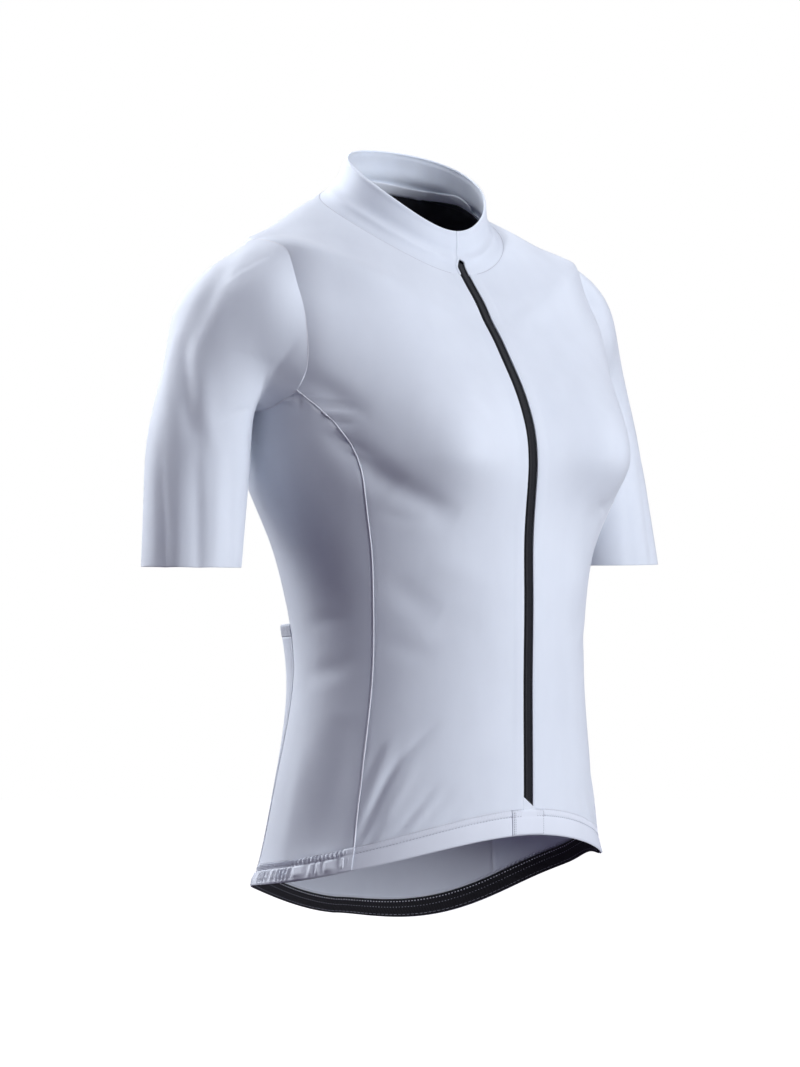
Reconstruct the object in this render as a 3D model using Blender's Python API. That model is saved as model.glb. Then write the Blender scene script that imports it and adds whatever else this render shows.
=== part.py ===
"""Short-sleeved cycling jersey with a full zip, worn, with no wearer in it.

Metres, +Z up. The front faces -Y and the wearer's left is +X. The origin is the middle
of the neck, level with the neck ends of the shoulder seams, where the wearer carries it.
An angle goes round the body from the centre front towards the wearer's left, in radians
(degrees in the tables). A level goes up the body, from 0 at the hem to 1 at the neck seam.
"""

import math

import bmesh
import bpy
import numpy as np

# Cloth and trims: thicknesses, and the gap that parts neighbouring pieces
KNIT = 0.0012
HEM_BAND = 0.0016
COLLAR_CLOTH = 0.0020
GRIPPER = 0.0012
LINING = 0.0008
POCKET_CLOTH = 0.0010
POCKET_ELASTIC = 0.0018
ZIP_TAPE = 0.0008
SEAM_GAP = 0.0003

# Zip
ZIP_SLOT = 0.0104
TAPE_HIDDEN = 0.0050
COIL_WIDTH = 0.0050
COIL_THICKNESS = 0.0010
ZIP_FOOT = 0.0009
ZIP_FOOT_HALF_WIDTH = 0.0175
ZIP_TOP_LEVELS = (0.13, 0.25)
SLIDER_LEVELS = (0.262, 0.36, 0.46)
SLIDER_HALF_WIDTHS = (0.0030, 0.0042, 0.0036)
SLIDER = 0.0024

# Levels of the body where pieces begin and end
BAND_LEVEL = 0.050
UNDERARM_LEVEL = 0.722
TIP_LEVEL = 0.890

# Rows and columns of cloth
LOW_ROWS = 19
ARM_ROWS = 8
YOKE_ROWS = 4
FRONT_COLUMNS = 9
SIDE_COLUMNS = 6
BACK_COLUMNS = 18
SLEEVE_ROWS = 12
POCKET_ROWS = 8
LINING_ROWS = 9
GATHERS = 15
POINTS_IN_A_GATHER = 4

# Relief
BUST_RISE = 0.030
BUST_APART = 0.088
BUST_HALF_WIDTH = 0.052
BUST_HEIGHT = -0.214
BUST_ABOVE = 0.062
BUST_BELOW = 0.036
GATHER_RISE = 0.0009
POCKET_BULGE = 0.0095
UNDERARM_DIP = 0.024

# How the back of the hem hangs lower on the wearer's left, and the side above it higher
LOWER_ON_LEFT = 0.062
HIGHER_ON_RIGHT = 0.020
RAISED_ON_LEFT = 0.0095
RAISED_AT_Y = -0.056
RAISED_OVER_Y = 0.031
HEM_HALF_WIDTH = 0.162
HEM_SIDE_Y = -0.022
HEM_REACH = 0.122
ASKEW_FROM_Z = -0.430
ASKEW_OVER_Z = 0.120


def spline(knots, values, at):
    """Natural cubic spline through rows of values, which may be numbers or points."""
    knots = np.asarray(knots, float)
    values = np.asarray(values, float)
    step = np.diff(knots)
    flat = values.reshape(len(knots), -1)
    slope = np.diff(flat, axis=0) / step[:, None]
    matrix = np.eye(len(knots))
    bend = np.zeros_like(flat)
    for i in range(1, len(knots) - 1):
        matrix[i, i - 1 : i + 2] = step[i - 1], 2 * (step[i - 1] + step[i]), step[i]
        bend[i] = 6 * (slope[i] - slope[i - 1])
    bend = np.linalg.solve(matrix, bend)
    at = np.asarray(at, float)
    i = np.clip(np.searchsorted(knots, at) - 1, 0, len(step) - 1)
    h = step[i][..., None]
    below = at[..., None] - knots[i][..., None]
    above = h - below
    result = (bend[i] * above**3 + bend[i + 1] * below**3) / (6 * h)
    result += (flat[i] / h - bend[i] * h / 6) * above
    result += (flat[i + 1] / h - bend[i + 1] * h / 6) * below
    return result.reshape(at.shape + values.shape[1:])


class Table:
    """Rows under named columns, read smoothly between the rows along the first column."""

    def __init__(self, columns, *rows):
        self.columns = columns.split()
        self.rows = np.array(rows, float)

    def __call__(self, name, at):
        return spline(self.rows[:, 0], self.rows[:, self.columns.index(name)], at)


# Rings round the body. ease is 0 where a ring tilts evenly from front to back and
# 1 where it stays level at the sides and drops towards the front and the back. square
# is 2 for an ellipse and more for a squarer ring.
BODY = Table(
    "level  z_front  z_side  z_back  half_width  y_front  y_side  y_back  ease  square",
    (0.000, -0.5270, -0.5660, -0.606, 0.1620, -0.1520, -0.022, 0.1045, 0.5, 2.0),
    (0.050, -0.5065, -0.5490, -0.591, 0.1545, -0.1520, -0.023, 0.0995, 0.5, 2.0),
    (0.150, -0.4550, -0.4800, -0.504, 0.1410, -0.1518, -0.029, 0.0870, 0.5, 2.0),
    (0.260, -0.3980, -0.4050, -0.410, 0.1300, -0.1516, -0.036, 0.0730, 0.5, 2.0),
    (0.400, -0.3300, -0.3320, -0.332, 0.1345, -0.1525, -0.033, 0.0820, 0.4, 2.0),
    (0.500, -0.2830, -0.2860, -0.284, 0.1465, -0.1525, -0.029, 0.0865, 0.3, 2.1),
    (0.580, -0.2440, -0.2480, -0.244, 0.1640, -0.1550, -0.025, 0.0890, 0.2, 2.2),
    (0.660, -0.2040, -0.2080, -0.205, 0.1730, -0.1545, -0.019, 0.0920, 0.1, 2.3),
    (0.722, -0.1750, -0.1605, -0.172, 0.1760, -0.1465, -0.010, 0.0935, 0.0, 2.3),
    (0.755, -0.1560, -0.1402, -0.152, 0.1765, -0.1375, -0.007, 0.0935, 0.0, 2.3),
    (0.790, -0.1350, -0.1085, -0.130, 0.1770, -0.1245, -0.004, 0.0925, 0.0, 2.3),
    (0.820, -0.1210, -0.0870, -0.111, 0.1730, -0.1155, -0.002, 0.0910, 0.0, 2.3),
    (0.845, -0.1120, -0.0711, -0.095, 0.1690, -0.1090, -0.001, 0.0890, 0.0, 2.25),
    (0.870, -0.1050, -0.0450, -0.079, 0.1640, -0.1035, 0.000, 0.0870, 0.0, 2.20),
    (0.890, -0.0995, -0.0355, -0.065, 0.1610, -0.0995, 0.000, 0.0850, 0.0, 2.15),
    (0.930, -0.0870, -0.0280, -0.032, 0.1350, -0.0915, 0.001, 0.0800, 0.0, 2.30),
    (0.965, -0.0745, -0.0160, -0.006, 0.1080, -0.0815, 0.001, 0.0735, 0.0, 2.25),
    (1.000, -0.0620, -0.0085, 0.018, 0.0830, -0.0715, 0.000, 0.0640, 0.0, 2.10),
)

# Seams down the body, in degrees from the centre front
PRINCESS = Table(
    "level  angle",
    (0.000, 64.0),
    (0.150, 65.0),
    (0.260, 65.5),
    (0.400, 63.2),
    (0.480, 61.5),
    (0.560, 60.8),
    (0.640, 62.0),
    (0.690, 66.5),
    (0.722, 74.5),
)
SIDE_BACK = Table(
    "level  angle",
    (0.000, 116.0),
    (0.260, 117.0),
    (0.550, 112.0),
    (0.722, 106.0),
)
ARMHOLE = Table(
    "level  front  back",
    (0.722, 74.5, 106.0),
    (0.755, 70.6, 109.0),
    (0.790, 70.4, 111.0),
    (0.820, 72.4, 110.0),
    (0.845, 75.0, 108.0),
    (0.868, 77.8, 103.0),
    (0.882, 83.2, 97.0),
    (0.890, 92.0, 92.0),
)
SHOULDER_ANGLE = math.radians(92.0)

# Angles that the middle columns of the front and the back are spread between
STEADY_FRONT = math.radians(66.0)
STEADY_BACK = math.radians(110.0)

# Rings of the left sleeve from just off the armhole to the cuff
SLEEVE = Table(
    "along  outer_x  outer_z  inner_x  inner_z  y_front  y_back",
    (0.15, 0.1850, -0.049, 0.1800, -0.1815, -0.052, 0.064),
    (0.35, 0.2175, -0.079, 0.1790, -0.1885, -0.040, 0.068),
    (0.55, 0.2365, -0.130, 0.1775, -0.1985, -0.034, 0.060),
    (0.75, 0.2590, -0.200, 0.1765, -0.2230, -0.033, 0.056),
    (0.88, 0.2675, -0.252, 0.1830, -0.2580, -0.036, 0.049),
    (1.00, 0.2745, -0.3055, 0.1920, -0.3065, -0.040, 0.042),
)

# Rings of the collar, from the neck seam over the bend of its flared foot to its top
COLLAR = Table(
    "level  z_front  z_side  z_back  half_width  y_front  y_side  y_back  square",
    (0.00, -0.0620, -0.0085, 0.0180, 0.0830, -0.0715, 0.0000, 0.0640, 2.0),
    (0.30, -0.0500, -0.0010, 0.0250, 0.0735, -0.0640, -0.0010, 0.0575, 2.0),
    (0.65, -0.0380, 0.0115, 0.0380, 0.0665, -0.0625, -0.0045, 0.0510, 2.0),
    (1.00, -0.0255, 0.0238, 0.0490, 0.0630, -0.0614, -0.0080, 0.0450, 2.0),
)
COLLAR_LEVELS = (0.0, 0.15, 0.28, 0.36, 0.55, 0.78, 1.0)


def unit(vectors):
    return vectors / np.linalg.norm(vectors, axis=-1, keepdims=True)


def mitre(first, second):
    """The offset that lies a thickness of 1 inside both of two surfaces that meet."""
    both = first + second
    return 2 * both / (both * both).sum(axis=-1, keepdims=True)


def ease_in_out(x):
    x = np.clip(x, 0, 1)
    return x * x * (3 - 2 * x)


def ring(table, angle, level, ease=0.0):
    """Points of the rings of a table with front, side and back columns."""
    ahead = np.cos(angle)
    aside = np.sin(angle)
    in_front = ahead > 0
    y_side = table("y_side", level)
    reach_front = y_side - table("y_front", level)
    reach_back = table("y_back", level) - y_side
    reach = np.where(in_front, reach_front, reach_back)
    square = table("square", level)
    radius = np.abs(ahead / reach) ** square
    radius += np.abs(aside / table("half_width", level)) ** square
    radius **= -1 / square
    z_front = table("z_front", level)
    z_side = table("z_side", level)
    z_back = table("z_back", level)
    tilt = (z_front - z_back) / 2
    sag = (z_front + z_back) / 2 - z_side
    lean = (1 - ease) * ahead + ease * ahead * np.abs(ahead)
    x = radius * aside
    y = y_side - radius * ahead
    z = z_side + tilt * lean + sag * ahead**2
    return np.stack((x, y, z), axis=-1)


def bust(x, z):
    """How far the bust darts push the front out."""
    aside = np.exp(-(((np.abs(x) - BUST_APART) / BUST_HALF_WIDTH) ** 2))
    away = z - BUST_HEIGHT
    reach = np.where(away > 0, BUST_ABOVE, BUST_BELOW)
    return BUST_RISE * aside * np.exp(-((away / reach) ** 2))


def body(angle, level):
    angle, level = np.broadcast_arrays(np.asarray(angle, float), np.asarray(level, float))
    points = ring(BODY, angle, level, BODY("ease", level))
    front = ease_in_out(np.cos(angle) / 0.5)
    points[..., 1] -= front * bust(points[..., 0], points[..., 2])
    return points


def body_normal(angle, level):
    angle, level = np.broadcast_arrays(np.asarray(angle, float), np.asarray(level, float))
    step = 1e-4
    across = body(angle + step, level) - body(angle - step, level)
    up = body(angle, level + step) - body(angle, level - step)
    return unit(np.cross(across, up))


def grid_normals(points, closed=False):
    """Normals of a grid, out of the side where its columns run anticlockwise."""
    along = np.gradient(points, axis=0)
    if closed:
        across = np.roll(points, -1, axis=1) - np.roll(points, 1, axis=1)
    else:
        across = np.gradient(points, axis=1)
    return unit(np.cross(across, along))


def pulled_in(points, *edges):
    """The grid with the named edges drawn in by half a seam gap."""
    moved = points.copy()
    half = SEAM_GAP / 2
    if "bottom" in edges:
        moved[0] += half * unit(points[1] - points[0])
    if "top" in edges:
        moved[-1] += half * unit(points[-2] - points[-1])
    if "start" in edges:
        moved[:, 0] += half * unit(points[:, 1] - points[:, 0])
    if "end" in edges:
        moved[:, -1] += half * unit(points[:, -2] - points[:, -1])
    return moved


def hang_askew(points):
    """The hem hangs lower at the back of the wearer's left than of the right."""
    x, y, z = np.moveaxis(points, -1, 0)
    behind = np.clip((y - HEM_SIDE_Y) / HEM_REACH, 0, 1) ** 2
    beside = np.exp(-(((y - RAISED_AT_Y) / RAISED_OVER_Y) ** 2))
    low = ease_in_out((ASKEW_FROM_Z - z) / ASKEW_OVER_Z)
    aside = np.abs(x) / HEM_HALF_WIDTH
    on_left = RAISED_ON_LEFT * aside * beside - LOWER_ON_LEFT * aside**1.5 * behind
    on_right = HIGHER_ON_RIGHT * aside * behind
    moved = points.copy()
    moved[..., 2] += low * np.where(x > 0, on_left, on_right)
    return moved


def material(name, colour, roughness, metallic=0.0):
    made = bpy.data.materials.new(name)
    made.use_nodes = True
    shader = made.node_tree.nodes["Principled BSDF"]
    shader.inputs["Base Color"].default_value = (*colour, 1.0)
    shader.inputs["Roughness"].default_value = roughness
    shader.inputs["Metallic"].default_value = metallic
    return made


def finish_mesh(name, shape, look, parent):
    bmesh.ops.recalc_face_normals(shape, faces=shape.faces)
    mesh = bpy.data.meshes.new(name)
    shape.to_mesh(mesh)
    shape.free()
    mesh.materials.append(look)
    mesh.shade_smooth()
    mesh.set_sharp_from_angle(angle=math.radians(50))
    piece = bpy.data.objects.new(name, mesh)
    piece.parent = parent
    bpy.context.scene.collection.objects.link(piece)
    return piece


def skin_faces(shape, grid, closed):
    """The quads of one skin of a wall."""
    columns = len(grid[0])
    last = columns if closed else columns - 1
    for low, high in zip(grid[:-1], grid[1:]):
        for j in range(last):
            k = (j + 1) % columns
            shape.faces.new((low[j], low[k], high[k], high[j]))


def rim_faces(shape, first, second, closed):
    """The quads that close a wall between the edges of its two skins."""
    last = len(first) if closed else len(first) - 1
    for j in range(last):
        k = (j + 1) % len(first)
        shape.faces.new((first[j], first[k], second[k], second[j]))


def wall(name, outer, inner, look, parent, closed=False):
    """A closed wall between two grids of points."""
    shape = bmesh.new()
    skins = [[[shape.verts.new(p) for p in row] for row in grid] for grid in (outer, inner)]
    for skin in skins:
        skin_faces(shape, skin, closed)
    front, back = skins
    rim_faces(shape, front[0], back[0], closed)
    rim_faces(shape, front[-1], back[-1], closed)
    if not closed:
        for column in (0, -1):
            edges = [[row[column] for row in skin] for skin in skins]
            rim_faces(shape, *edges, closed=False)
    return finish_mesh(name, shape, look, parent)


def piece(name, outer, inner, look, parent, closed=False):
    """A wall that hangs as the body does."""
    wall(name, hang_askew(outer), hang_askew(inner), look, parent, closed)


def mirrored(points):
    return points * np.array((-1.0, 1.0, 1.0))


def pair_of_pieces(name, outer, inner, look, parent, closed=False):
    """A wall on the wearer's left and its mirror image on the right."""
    piece(name + "_left", outer, inner, look, parent, closed)
    piece(name + "_right", mirrored(outer), mirrored(inner), look, parent, closed)


def spread(start, end, columns):
    """Angles from start to end, a row for each of their levels."""
    share = np.linspace(0, 1, columns + 1)
    return start[:, None] + (end - start)[:, None] * share


def zip_edge(level, half_width):
    """Angle at which the front is half_width from the centre line."""
    reach = BODY("y_side", level) - BODY("y_front", level)
    return np.arctan(half_width / reach)


LOW_LEVELS = np.linspace(BAND_LEVEL, UNDERARM_LEVEL, LOW_ROWS + 1)
ARM_SHARES = np.sin(np.linspace(0, 1.33, ARM_ROWS + 1))
ARM_LEVELS = UNDERARM_LEVEL + (TIP_LEVEL - UNDERARM_LEVEL) * ARM_SHARES / ARM_SHARES[-1]
YOKE_LEVELS = np.linspace(TIP_LEVEL, 1.0, YOKE_ROWS + 1)
PANEL_LEVELS = np.concatenate((LOW_LEVELS, ARM_LEVELS[1:], YOKE_LEVELS[1:]))
ARM_SPAN = slice(LOW_ROWS, LOW_ROWS + ARM_ROWS + 1)


def panel_edge(seam, seam_column, armhole_column):
    """Angles of a panel's side edge: its seam, then the armhole, then the shoulder."""
    low = np.radians(seam(seam_column, LOW_LEVELS))
    arm = np.radians(ARMHOLE(armhole_column, ARM_LEVELS[1:]))
    yoke = np.full(YOKE_ROWS, SHOULDER_ANGLE)
    return np.concatenate((low, arm, yoke))


def underarm_levels(angles):
    """Levels of the side panel, whose top edge dips under the arm."""
    share = (angles - angles[:, :1]) / (angles[:, -1:] - angles[:, :1])
    climb = (LOW_LEVELS / UNDERARM_LEVEL)[:, None]
    return LOW_LEVELS[:, None] - UNDERARM_DIP * 4 * share * (1 - share) * climb**6


def front_spread(zip_line, edge):
    """Columns of a front, which bend with its outer edge only near that edge."""
    share = np.linspace(0, 1, FRONT_COLUMNS + 1)
    steady = np.full_like(edge, STEADY_FRONT)
    return spread(zip_line, steady, FRONT_COLUMNS) + (edge - STEADY_FRONT)[:, None] * share**4


def back_spread(edge):
    """Columns of the back, which bend with its edges only near them."""
    share = np.linspace(0, 1, BACK_COLUMNS + 1)
    steady = np.full_like(edge, STEADY_BACK)
    near_edges = (1 - share) ** 8 - share**8
    angles = spread(steady, 2 * math.pi - steady, BACK_COLUMNS)
    return angles + (edge - STEADY_BACK)[:, None] * near_edges


class Panels:
    """Angles, levels, points and offsets of the panels of the wearer's left side."""

    def __init__(self):
        front_edge = panel_edge(PRINCESS, "angle", "front")
        back_edge = panel_edge(SIDE_BACK, "angle", "back")
        zip_line = zip_edge(PANEL_LEVELS, ZIP_SLOT / 2)
        levels = PANEL_LEVELS[:, None]
        self.front_angles = front_spread(zip_line, front_edge)
        self.back_angles = back_spread(back_edge)
        low = slice(0, LOW_ROWS + 1)
        self.side_angles = spread(front_edge[low], back_edge[low], SIDE_COLUMNS)
        self.side_levels = underarm_levels(self.side_angles)
        self.front = body(self.front_angles, levels)
        self.back = body(self.back_angles, levels)
        self.side = body(self.side_angles, self.side_levels)
        self.front_normal = body_normal(self.front_angles, levels)
        self.back_normal = body_normal(self.back_angles, levels)
        self.front_offset = self.front_normal.copy()
        self.back_offset = self.back_normal.copy()
        self.side_offset = body_normal(self.side_angles, self.side_levels)

    def armhole(self, front, side, back):
        """A closed run of values: under the arm, up the back edge, down the front edge."""
        climb = back[ARM_SPAN, 0]
        descent = front[ARM_SPAN, -1][::-1]
        return np.concatenate((side[-1], climb[1:], descent[1:-1]))

    def share_armhole(self, offsets):
        """Gives the panels the offsets that the sleeve has at each armhole point."""
        under = SIDE_COLUMNS + 1
        tip = under + ARM_ROWS
        climb = offsets[under - 1 : tip]
        descent = np.concatenate((offsets[tip - 1 :], offsets[:1]))
        self.side_offset[-1] = offsets[:under]
        self.back_offset[ARM_SPAN, 0] = climb
        self.back_offset[ARM_SPAN, -1] = mirrored(climb)
        self.front_offset[ARM_SPAN, -1] = descent[::-1]

    def neck(self, front, back):
        """Values round the neck seam, from the left of the zip to its right."""
        right = mirrored(front[-1][::-1])
        return np.concatenate((front[-1], back[-1][1:-1], right))

    def share_neck(self, offsets):
        """Gives the panels the offsets that the collar has at each neck point."""
        front = FRONT_COLUMNS + 1
        self.front_offset[-1] = offsets[:front]
        self.back_offset[-1, 1:-1] = offsets[front:-front]
        self.back_offset[-1, 0] = offsets[front - 1]
        self.back_offset[-1, -1] = mirrored(offsets[front - 1])


def sleeve_grid(loop):
    """The left sleeve's points, from the armhole's loop to the cuff."""
    centre = (loop.max(axis=0) + loop.min(axis=0)) / 2
    half = (loop.max(axis=0) - loop.min(axis=0)) / 2
    turn = np.arctan2(-(loop[:, 1] - centre[1]) / half[1], (loop[:, 2] - centre[2]) / half[2])
    rings = [loop]
    for _, outer_x, outer_z, inner_x, inner_z, y_front, y_back in SLEEVE.rows:
        up = (1 + np.cos(turn)) / 2
        x = inner_x + (outer_x - inner_x) * up
        z = inner_z + (outer_z - inner_z) * up
        y = (y_front + y_back) / 2 - (y_back - y_front) / 2 * np.sin(turn)
        rings.append(np.stack((x, y, z), axis=-1))
    knots = np.concatenate(((0.0,), SLEEVE.rows[:, 0]))
    return spline(knots, np.array(rings), np.linspace(0, 1, SLEEVE_ROWS + 1))


def collar_front(level):
    """x of the collar's left and right front ends, which leave room for the zip's top."""
    half_slot = ZIP_SLOT / 2 + SEAM_GAP / 2
    steps = (0.0, 0.15, 0.28, 0.36, 1.0)
    left = (half_slot, half_slot, half_slot, 0.0004, 0.0004)
    right = (-half_slot, -half_slot, -0.0030, -0.0008, -0.0004)
    return np.interp(level, steps, left), np.interp(level, steps, right)


def collar_grid(neck):
    """The collar's points, one column for each point of the neck seam."""
    levels = np.array(COLLAR_LEVELS)
    turn = np.arctan2(neck[:, 0], -neck[:, 1])
    turn = np.where(turn < 0, turn + 2 * math.pi, turn)
    reach = COLLAR("y_side", levels) - COLLAR("y_front", levels)
    left, right = collar_front(levels)
    start = np.arctan(left / reach)
    end = 2 * math.pi + np.arctan(right / reach)
    share = (turn - turn[0]) / (turn[-1] - turn[0])
    angles = start[:, None] + (end - start)[:, None] * share
    points = ring(COLLAR, angles, levels[:, None])
    points[0] = neck
    return points


def build_panels(panels, looks, parent):
    front = pulled_in(panels.front, "bottom", "top", "end")
    side = pulled_in(panels.side, "bottom", "top", "start", "end")
    back = pulled_in(panels.back, "bottom", "top", "start", "end")
    white = looks["knit"]
    inner = front - KNIT * panels.front_offset
    pair_of_pieces("front", front, inner, white, parent)
    inner = side - KNIT * panels.side_offset
    pair_of_pieces("side", side, inner, white, parent)
    piece("back", back, back - KNIT * panels.back_offset, white, parent)


def build_sleeves(grid, offsets, looks, parent):
    outer = pulled_in(grid, "bottom")
    inner = outer - KNIT * offsets
    pair_of_pieces("sleeve", outer, inner, looks["knit"], parent, closed=True)


def build_collar(grid, offsets, looks, parent):
    outer = pulled_in(grid, "bottom")
    inner = outer - KNIT * offsets
    thicker = COLLAR_CLOTH - KNIT
    inner[1:] -= thicker * offsets[1:]
    piece("collar", outer, inner, looks["knit"], parent)


def between(first, second, share):
    return first + (second - first) * share


def refined(grid, parts):
    """The grid with each of its columns cut into equal parts, along straight lines."""
    share = (np.arange(parts) / parts)[:, None]
    cut = [between(a, b, share) for row in grid for a, b in zip(row[:-1], row[1:])]
    cut = np.array(cut).reshape(len(grid), -1, 3)
    return np.concatenate((cut, grid[:, -1:]), axis=1)


class Hem:
    """Points and offsets of the band round the hem, in the columns of the panels."""

    levels = np.array((0.0, BAND_LEVEL / 2, BAND_LEVEL))[:, None]

    def __init__(self, panels):
        front_start = zip_edge(self.levels, SEAM_GAP)
        zip_line = zip_edge(self.levels, ZIP_SLOT / 2)
        princess = np.radians(PRINCESS("angle", self.levels))
        side_back = np.radians(SIDE_BACK("angle", self.levels))
        front = front_spread(zip_line[:, 0], princess[:, 0])
        front = np.concatenate((front_start, front), axis=1)
        side = spread(princess[:, 0], side_back[:, 0], SIDE_COLUMNS)
        back = back_spread(side_back[:, 0])
        self.front, self.front_normal = self.points(front)
        self.side, self.side_normal = self.points(side)
        self.back, self.back_normal = self.points(back)

    def points(self, angles):
        return body(angles, self.levels), body_normal(angles, self.levels)


def build_hem(hem, looks, parent):
    white = looks["hem"]
    front = pulled_in(hem.front, "top", "end")
    pair_of_pieces("hem_front", front, front - HEM_BAND * hem.front_normal, white, parent)
    back = pulled_in(hem.back, "top", "start", "end")
    piece("hem_back", back, back - HEM_BAND * hem.back_normal, white, parent)


def build_gathers(hem, looks, parent):
    """The sides of the hem, drawn up by their elastic into small upright folds."""
    parts = GATHERS * POINTS_IN_A_GATHER // SIDE_COLUMNS
    share = np.linspace(0, 1, parts * SIDE_COLUMNS + 1)
    uneven = 0.35 * np.sin(2 * math.pi * 2.3 * share)
    fold = 0.5 - 0.5 * np.cos(2 * math.pi * (GATHERS * share + uneven))
    fade = np.minimum(1, 8 * share * (1 - share))
    height = np.array((0.35, 1.0, 0.3))[:, None]
    rise = (GATHER_RISE * height * fold * fade)[..., None]
    left = pulled_in(hem.side, "top", "start", "end")
    for side, points, normal in (
        ("left", left, hem.side_normal),
        ("right", mirrored(left), mirrored(hem.side_normal)),
    ):
        outer = refined(hang_askew(points), parts)
        inner = refined(hang_askew(points - HEM_BAND * normal), parts)
        outer = outer + rise * unit(refined(normal, parts))
        wall("hem_side_" + side, outer, inner, looks["hem"], parent)


def build_gripper(hem, looks, parent):
    """The elastic that grips, inside the hem from princess seam to princess seam."""
    right = mirrored(hem.side[:, ::-1])
    right_normal = mirrored(hem.side_normal[:, ::-1])
    ring_points = np.concatenate((hem.side, hem.back[:, 1:-1], right), axis=1)
    normal = np.concatenate((hem.side_normal, hem.back_normal[:, 1:-1], right_normal), axis=1)
    foot, middle, top = ring_points
    rows = (between(foot, middle, 0.04), middle, between(middle, top, 0.84))
    outer = pulled_in(np.array(rows), "start", "end") - (HEM_BAND + SEAM_GAP) * normal
    piece("hem_gripper", outer, outer - GRIPPER * normal, looks["elastic"], parent)


def build_lining(panels, looks, parent):
    """The dark facing inside the upper back."""
    outer = pulled_in(panels.back[-LINING_ROWS:], "top", "start", "end")
    normal = body_normal(panels.back_angles, PANEL_LEVELS[:, None])[-LINING_ROWS:]
    outer = pulled_in(outer, "start", "end")[:, 1:-1]
    outer = outer - (KNIT + SEAM_GAP) * normal[:, 1:-1]
    inner = outer - LINING * normal[:, 1:-1]
    piece("back_lining", outer, inner, looks["lining"], parent)


def collar_points(levels, x):
    """Points of the collar at a distance from the centre line."""
    levels = np.asarray(levels, float)
    reach = COLLAR("y_side", levels) - COLLAR("y_front", levels)
    return ring(COLLAR, np.arctan(x / reach), levels)


def zip_points(x, foot=0.4):
    """A line up the front and into the foot of the collar, x from the centre line."""
    front = body(zip_edge(PANEL_LEVELS, x), PANEL_LEVELS)
    front[0] = between(front[0], front[1], foot)
    return np.concatenate((front, collar_points(ZIP_TOP_LEVELS, x)))


def build_zip(panels, looks, parent):
    """Two tapes under the front's edges and the closed coil between them."""
    middle = [zip_points(x) for x in (-COIL_WIDTH / 2, 0.0, COIL_WIDTH / 2)]
    inner = np.stack(middle, axis=1)
    normal = grid_normals(inner)[:, 1:2]
    inner -= KNIT * normal
    piece("zip_coil", inner + COIL_THICKNESS * normal, inner, looks["coil"], parent)

    start = zip_points(SEAM_GAP / 2)
    edge = zip_points(ZIP_SLOT / 2 - SEAM_GAP)
    hidden = edge.copy()
    under_front = slice(0, len(PANEL_LEVELS) - 1)
    first, second = panels.front[under_front, 0], panels.front[under_front, 1]
    share = TAPE_HIDDEN / np.linalg.norm(second - first, axis=-1)[:, None]
    edge[under_front] = first
    hidden[under_front] = between(first, second, share)
    edge[0] = between(edge[0], edge[1], 0.4)
    hidden[0] = between(hidden[0], hidden[1], 0.4)
    hidden[-1] = between(start[-1], hidden[-1], 0.62)
    in_collar = slice(len(PANEL_LEVELS) - 1, None)
    edge[in_collar] = between(start, hidden, 0.5)[in_collar]
    outer = np.stack((start, edge, hidden), axis=1) - (KNIT + SEAM_GAP) * normal
    pair_of_pieces("zip_tape", outer, outer - ZIP_TAPE * normal, looks["tape"], parent)


def build_zip_foot(hem, looks, parent):
    """The patch on the hem band that covers the foot of the zip."""
    start, edge, beyond = hem.front[:, 0], hem.front[:, 1], hem.front[:, 2]
    share = (ZIP_FOOT_HALF_WIDTH - ZIP_SLOT / 2) / np.linalg.norm(beyond - edge, axis=-1)
    side = between(edge, beyond, share[:, None])
    left = np.stack((start, edge, side), axis=1)
    normal = hem.front_normal[:, :3]
    inner = np.concatenate((mirrored(left[:, ::-1]), left), axis=1)
    out = np.concatenate((mirrored(normal[:, ::-1]), normal), axis=1)
    inner = inner + SEAM_GAP * out
    inner[0] = between(inner[0], inner[1], 0.05)
    inner[-1] = between(inner[-1], inner[-2], 0.05)
    piece("zip_foot", inner + ZIP_FOOT * out, inner, looks["hem"], parent)


def build_slider(looks, parent):
    """The slider, parked at the top of the zip behind the collar's closed front."""
    levels = np.array(SLIDER_LEVELS)
    half = np.array(SLIDER_HALF_WIDTHS)
    outer = np.stack([collar_points(levels, x) for x in (-half, 0 * half, half)], axis=1)
    normal = grid_normals(outer)[:, 1:2]
    outer = outer - (COLLAR_CLOTH + 2 * SEAM_GAP) * normal
    piece("zip_slider", outer, outer - SLIDER * normal, looks["metal"], parent)


def pocket_stand(across, up):
    """How far a pocket stands off the back, least at its sewn sides and foot."""
    bulge = (4 * across * (1 - across)) ** 0.8 * ease_in_out(up[:, None]) ** 1.5
    return (SEAM_GAP + POCKET_BULGE * bulge)[..., None]


def build_pockets(panels, looks, parent):
    """Three pockets across the lower back, each with an elastic along its mouth."""
    width = BACK_COLUMNS // 3
    across = np.linspace(0, 1, width + 1)
    top = POCKET_ROWS
    mouth_rows = np.array((0.0, 0.28, 0.56))
    pocket_up = np.linspace(0, 1, top + 1) / (1 + mouth_rows[-1] / top)
    mouth_up = (1 + mouth_rows / top) / (1 + mouth_rows[-1] / top)
    for i, side in enumerate(("left", "centre", "right")):
        columns = slice(i * width, (i + 1) * width + 1)
        back = pulled_in(panels.back[: top + 2, columns], "start", "end")
        normal = panels.back_normal[: top + 1, columns]

        below = between(back[top], back[top + 1], -0.02)
        inner = np.concatenate((back[:top], below[None]))
        inner = inner + pocket_stand(across, pocket_up) * normal
        piece("pocket_" + side, inner + POCKET_CLOTH * normal, inner, looks["knit"], parent)

        mouth = np.stack([between(back[top], back[top + 1], share) for share in mouth_rows])
        inner = mouth + pocket_stand(across, mouth_up) * normal[top]
        outer = inner + POCKET_ELASTIC * normal[top]
        piece("pocket_trim_" + side, outer, inner, looks["hem"], parent)


def clear_scene():
    for item in list(bpy.data.objects):
        bpy.data.objects.remove(item, do_unlink=True)


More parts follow.
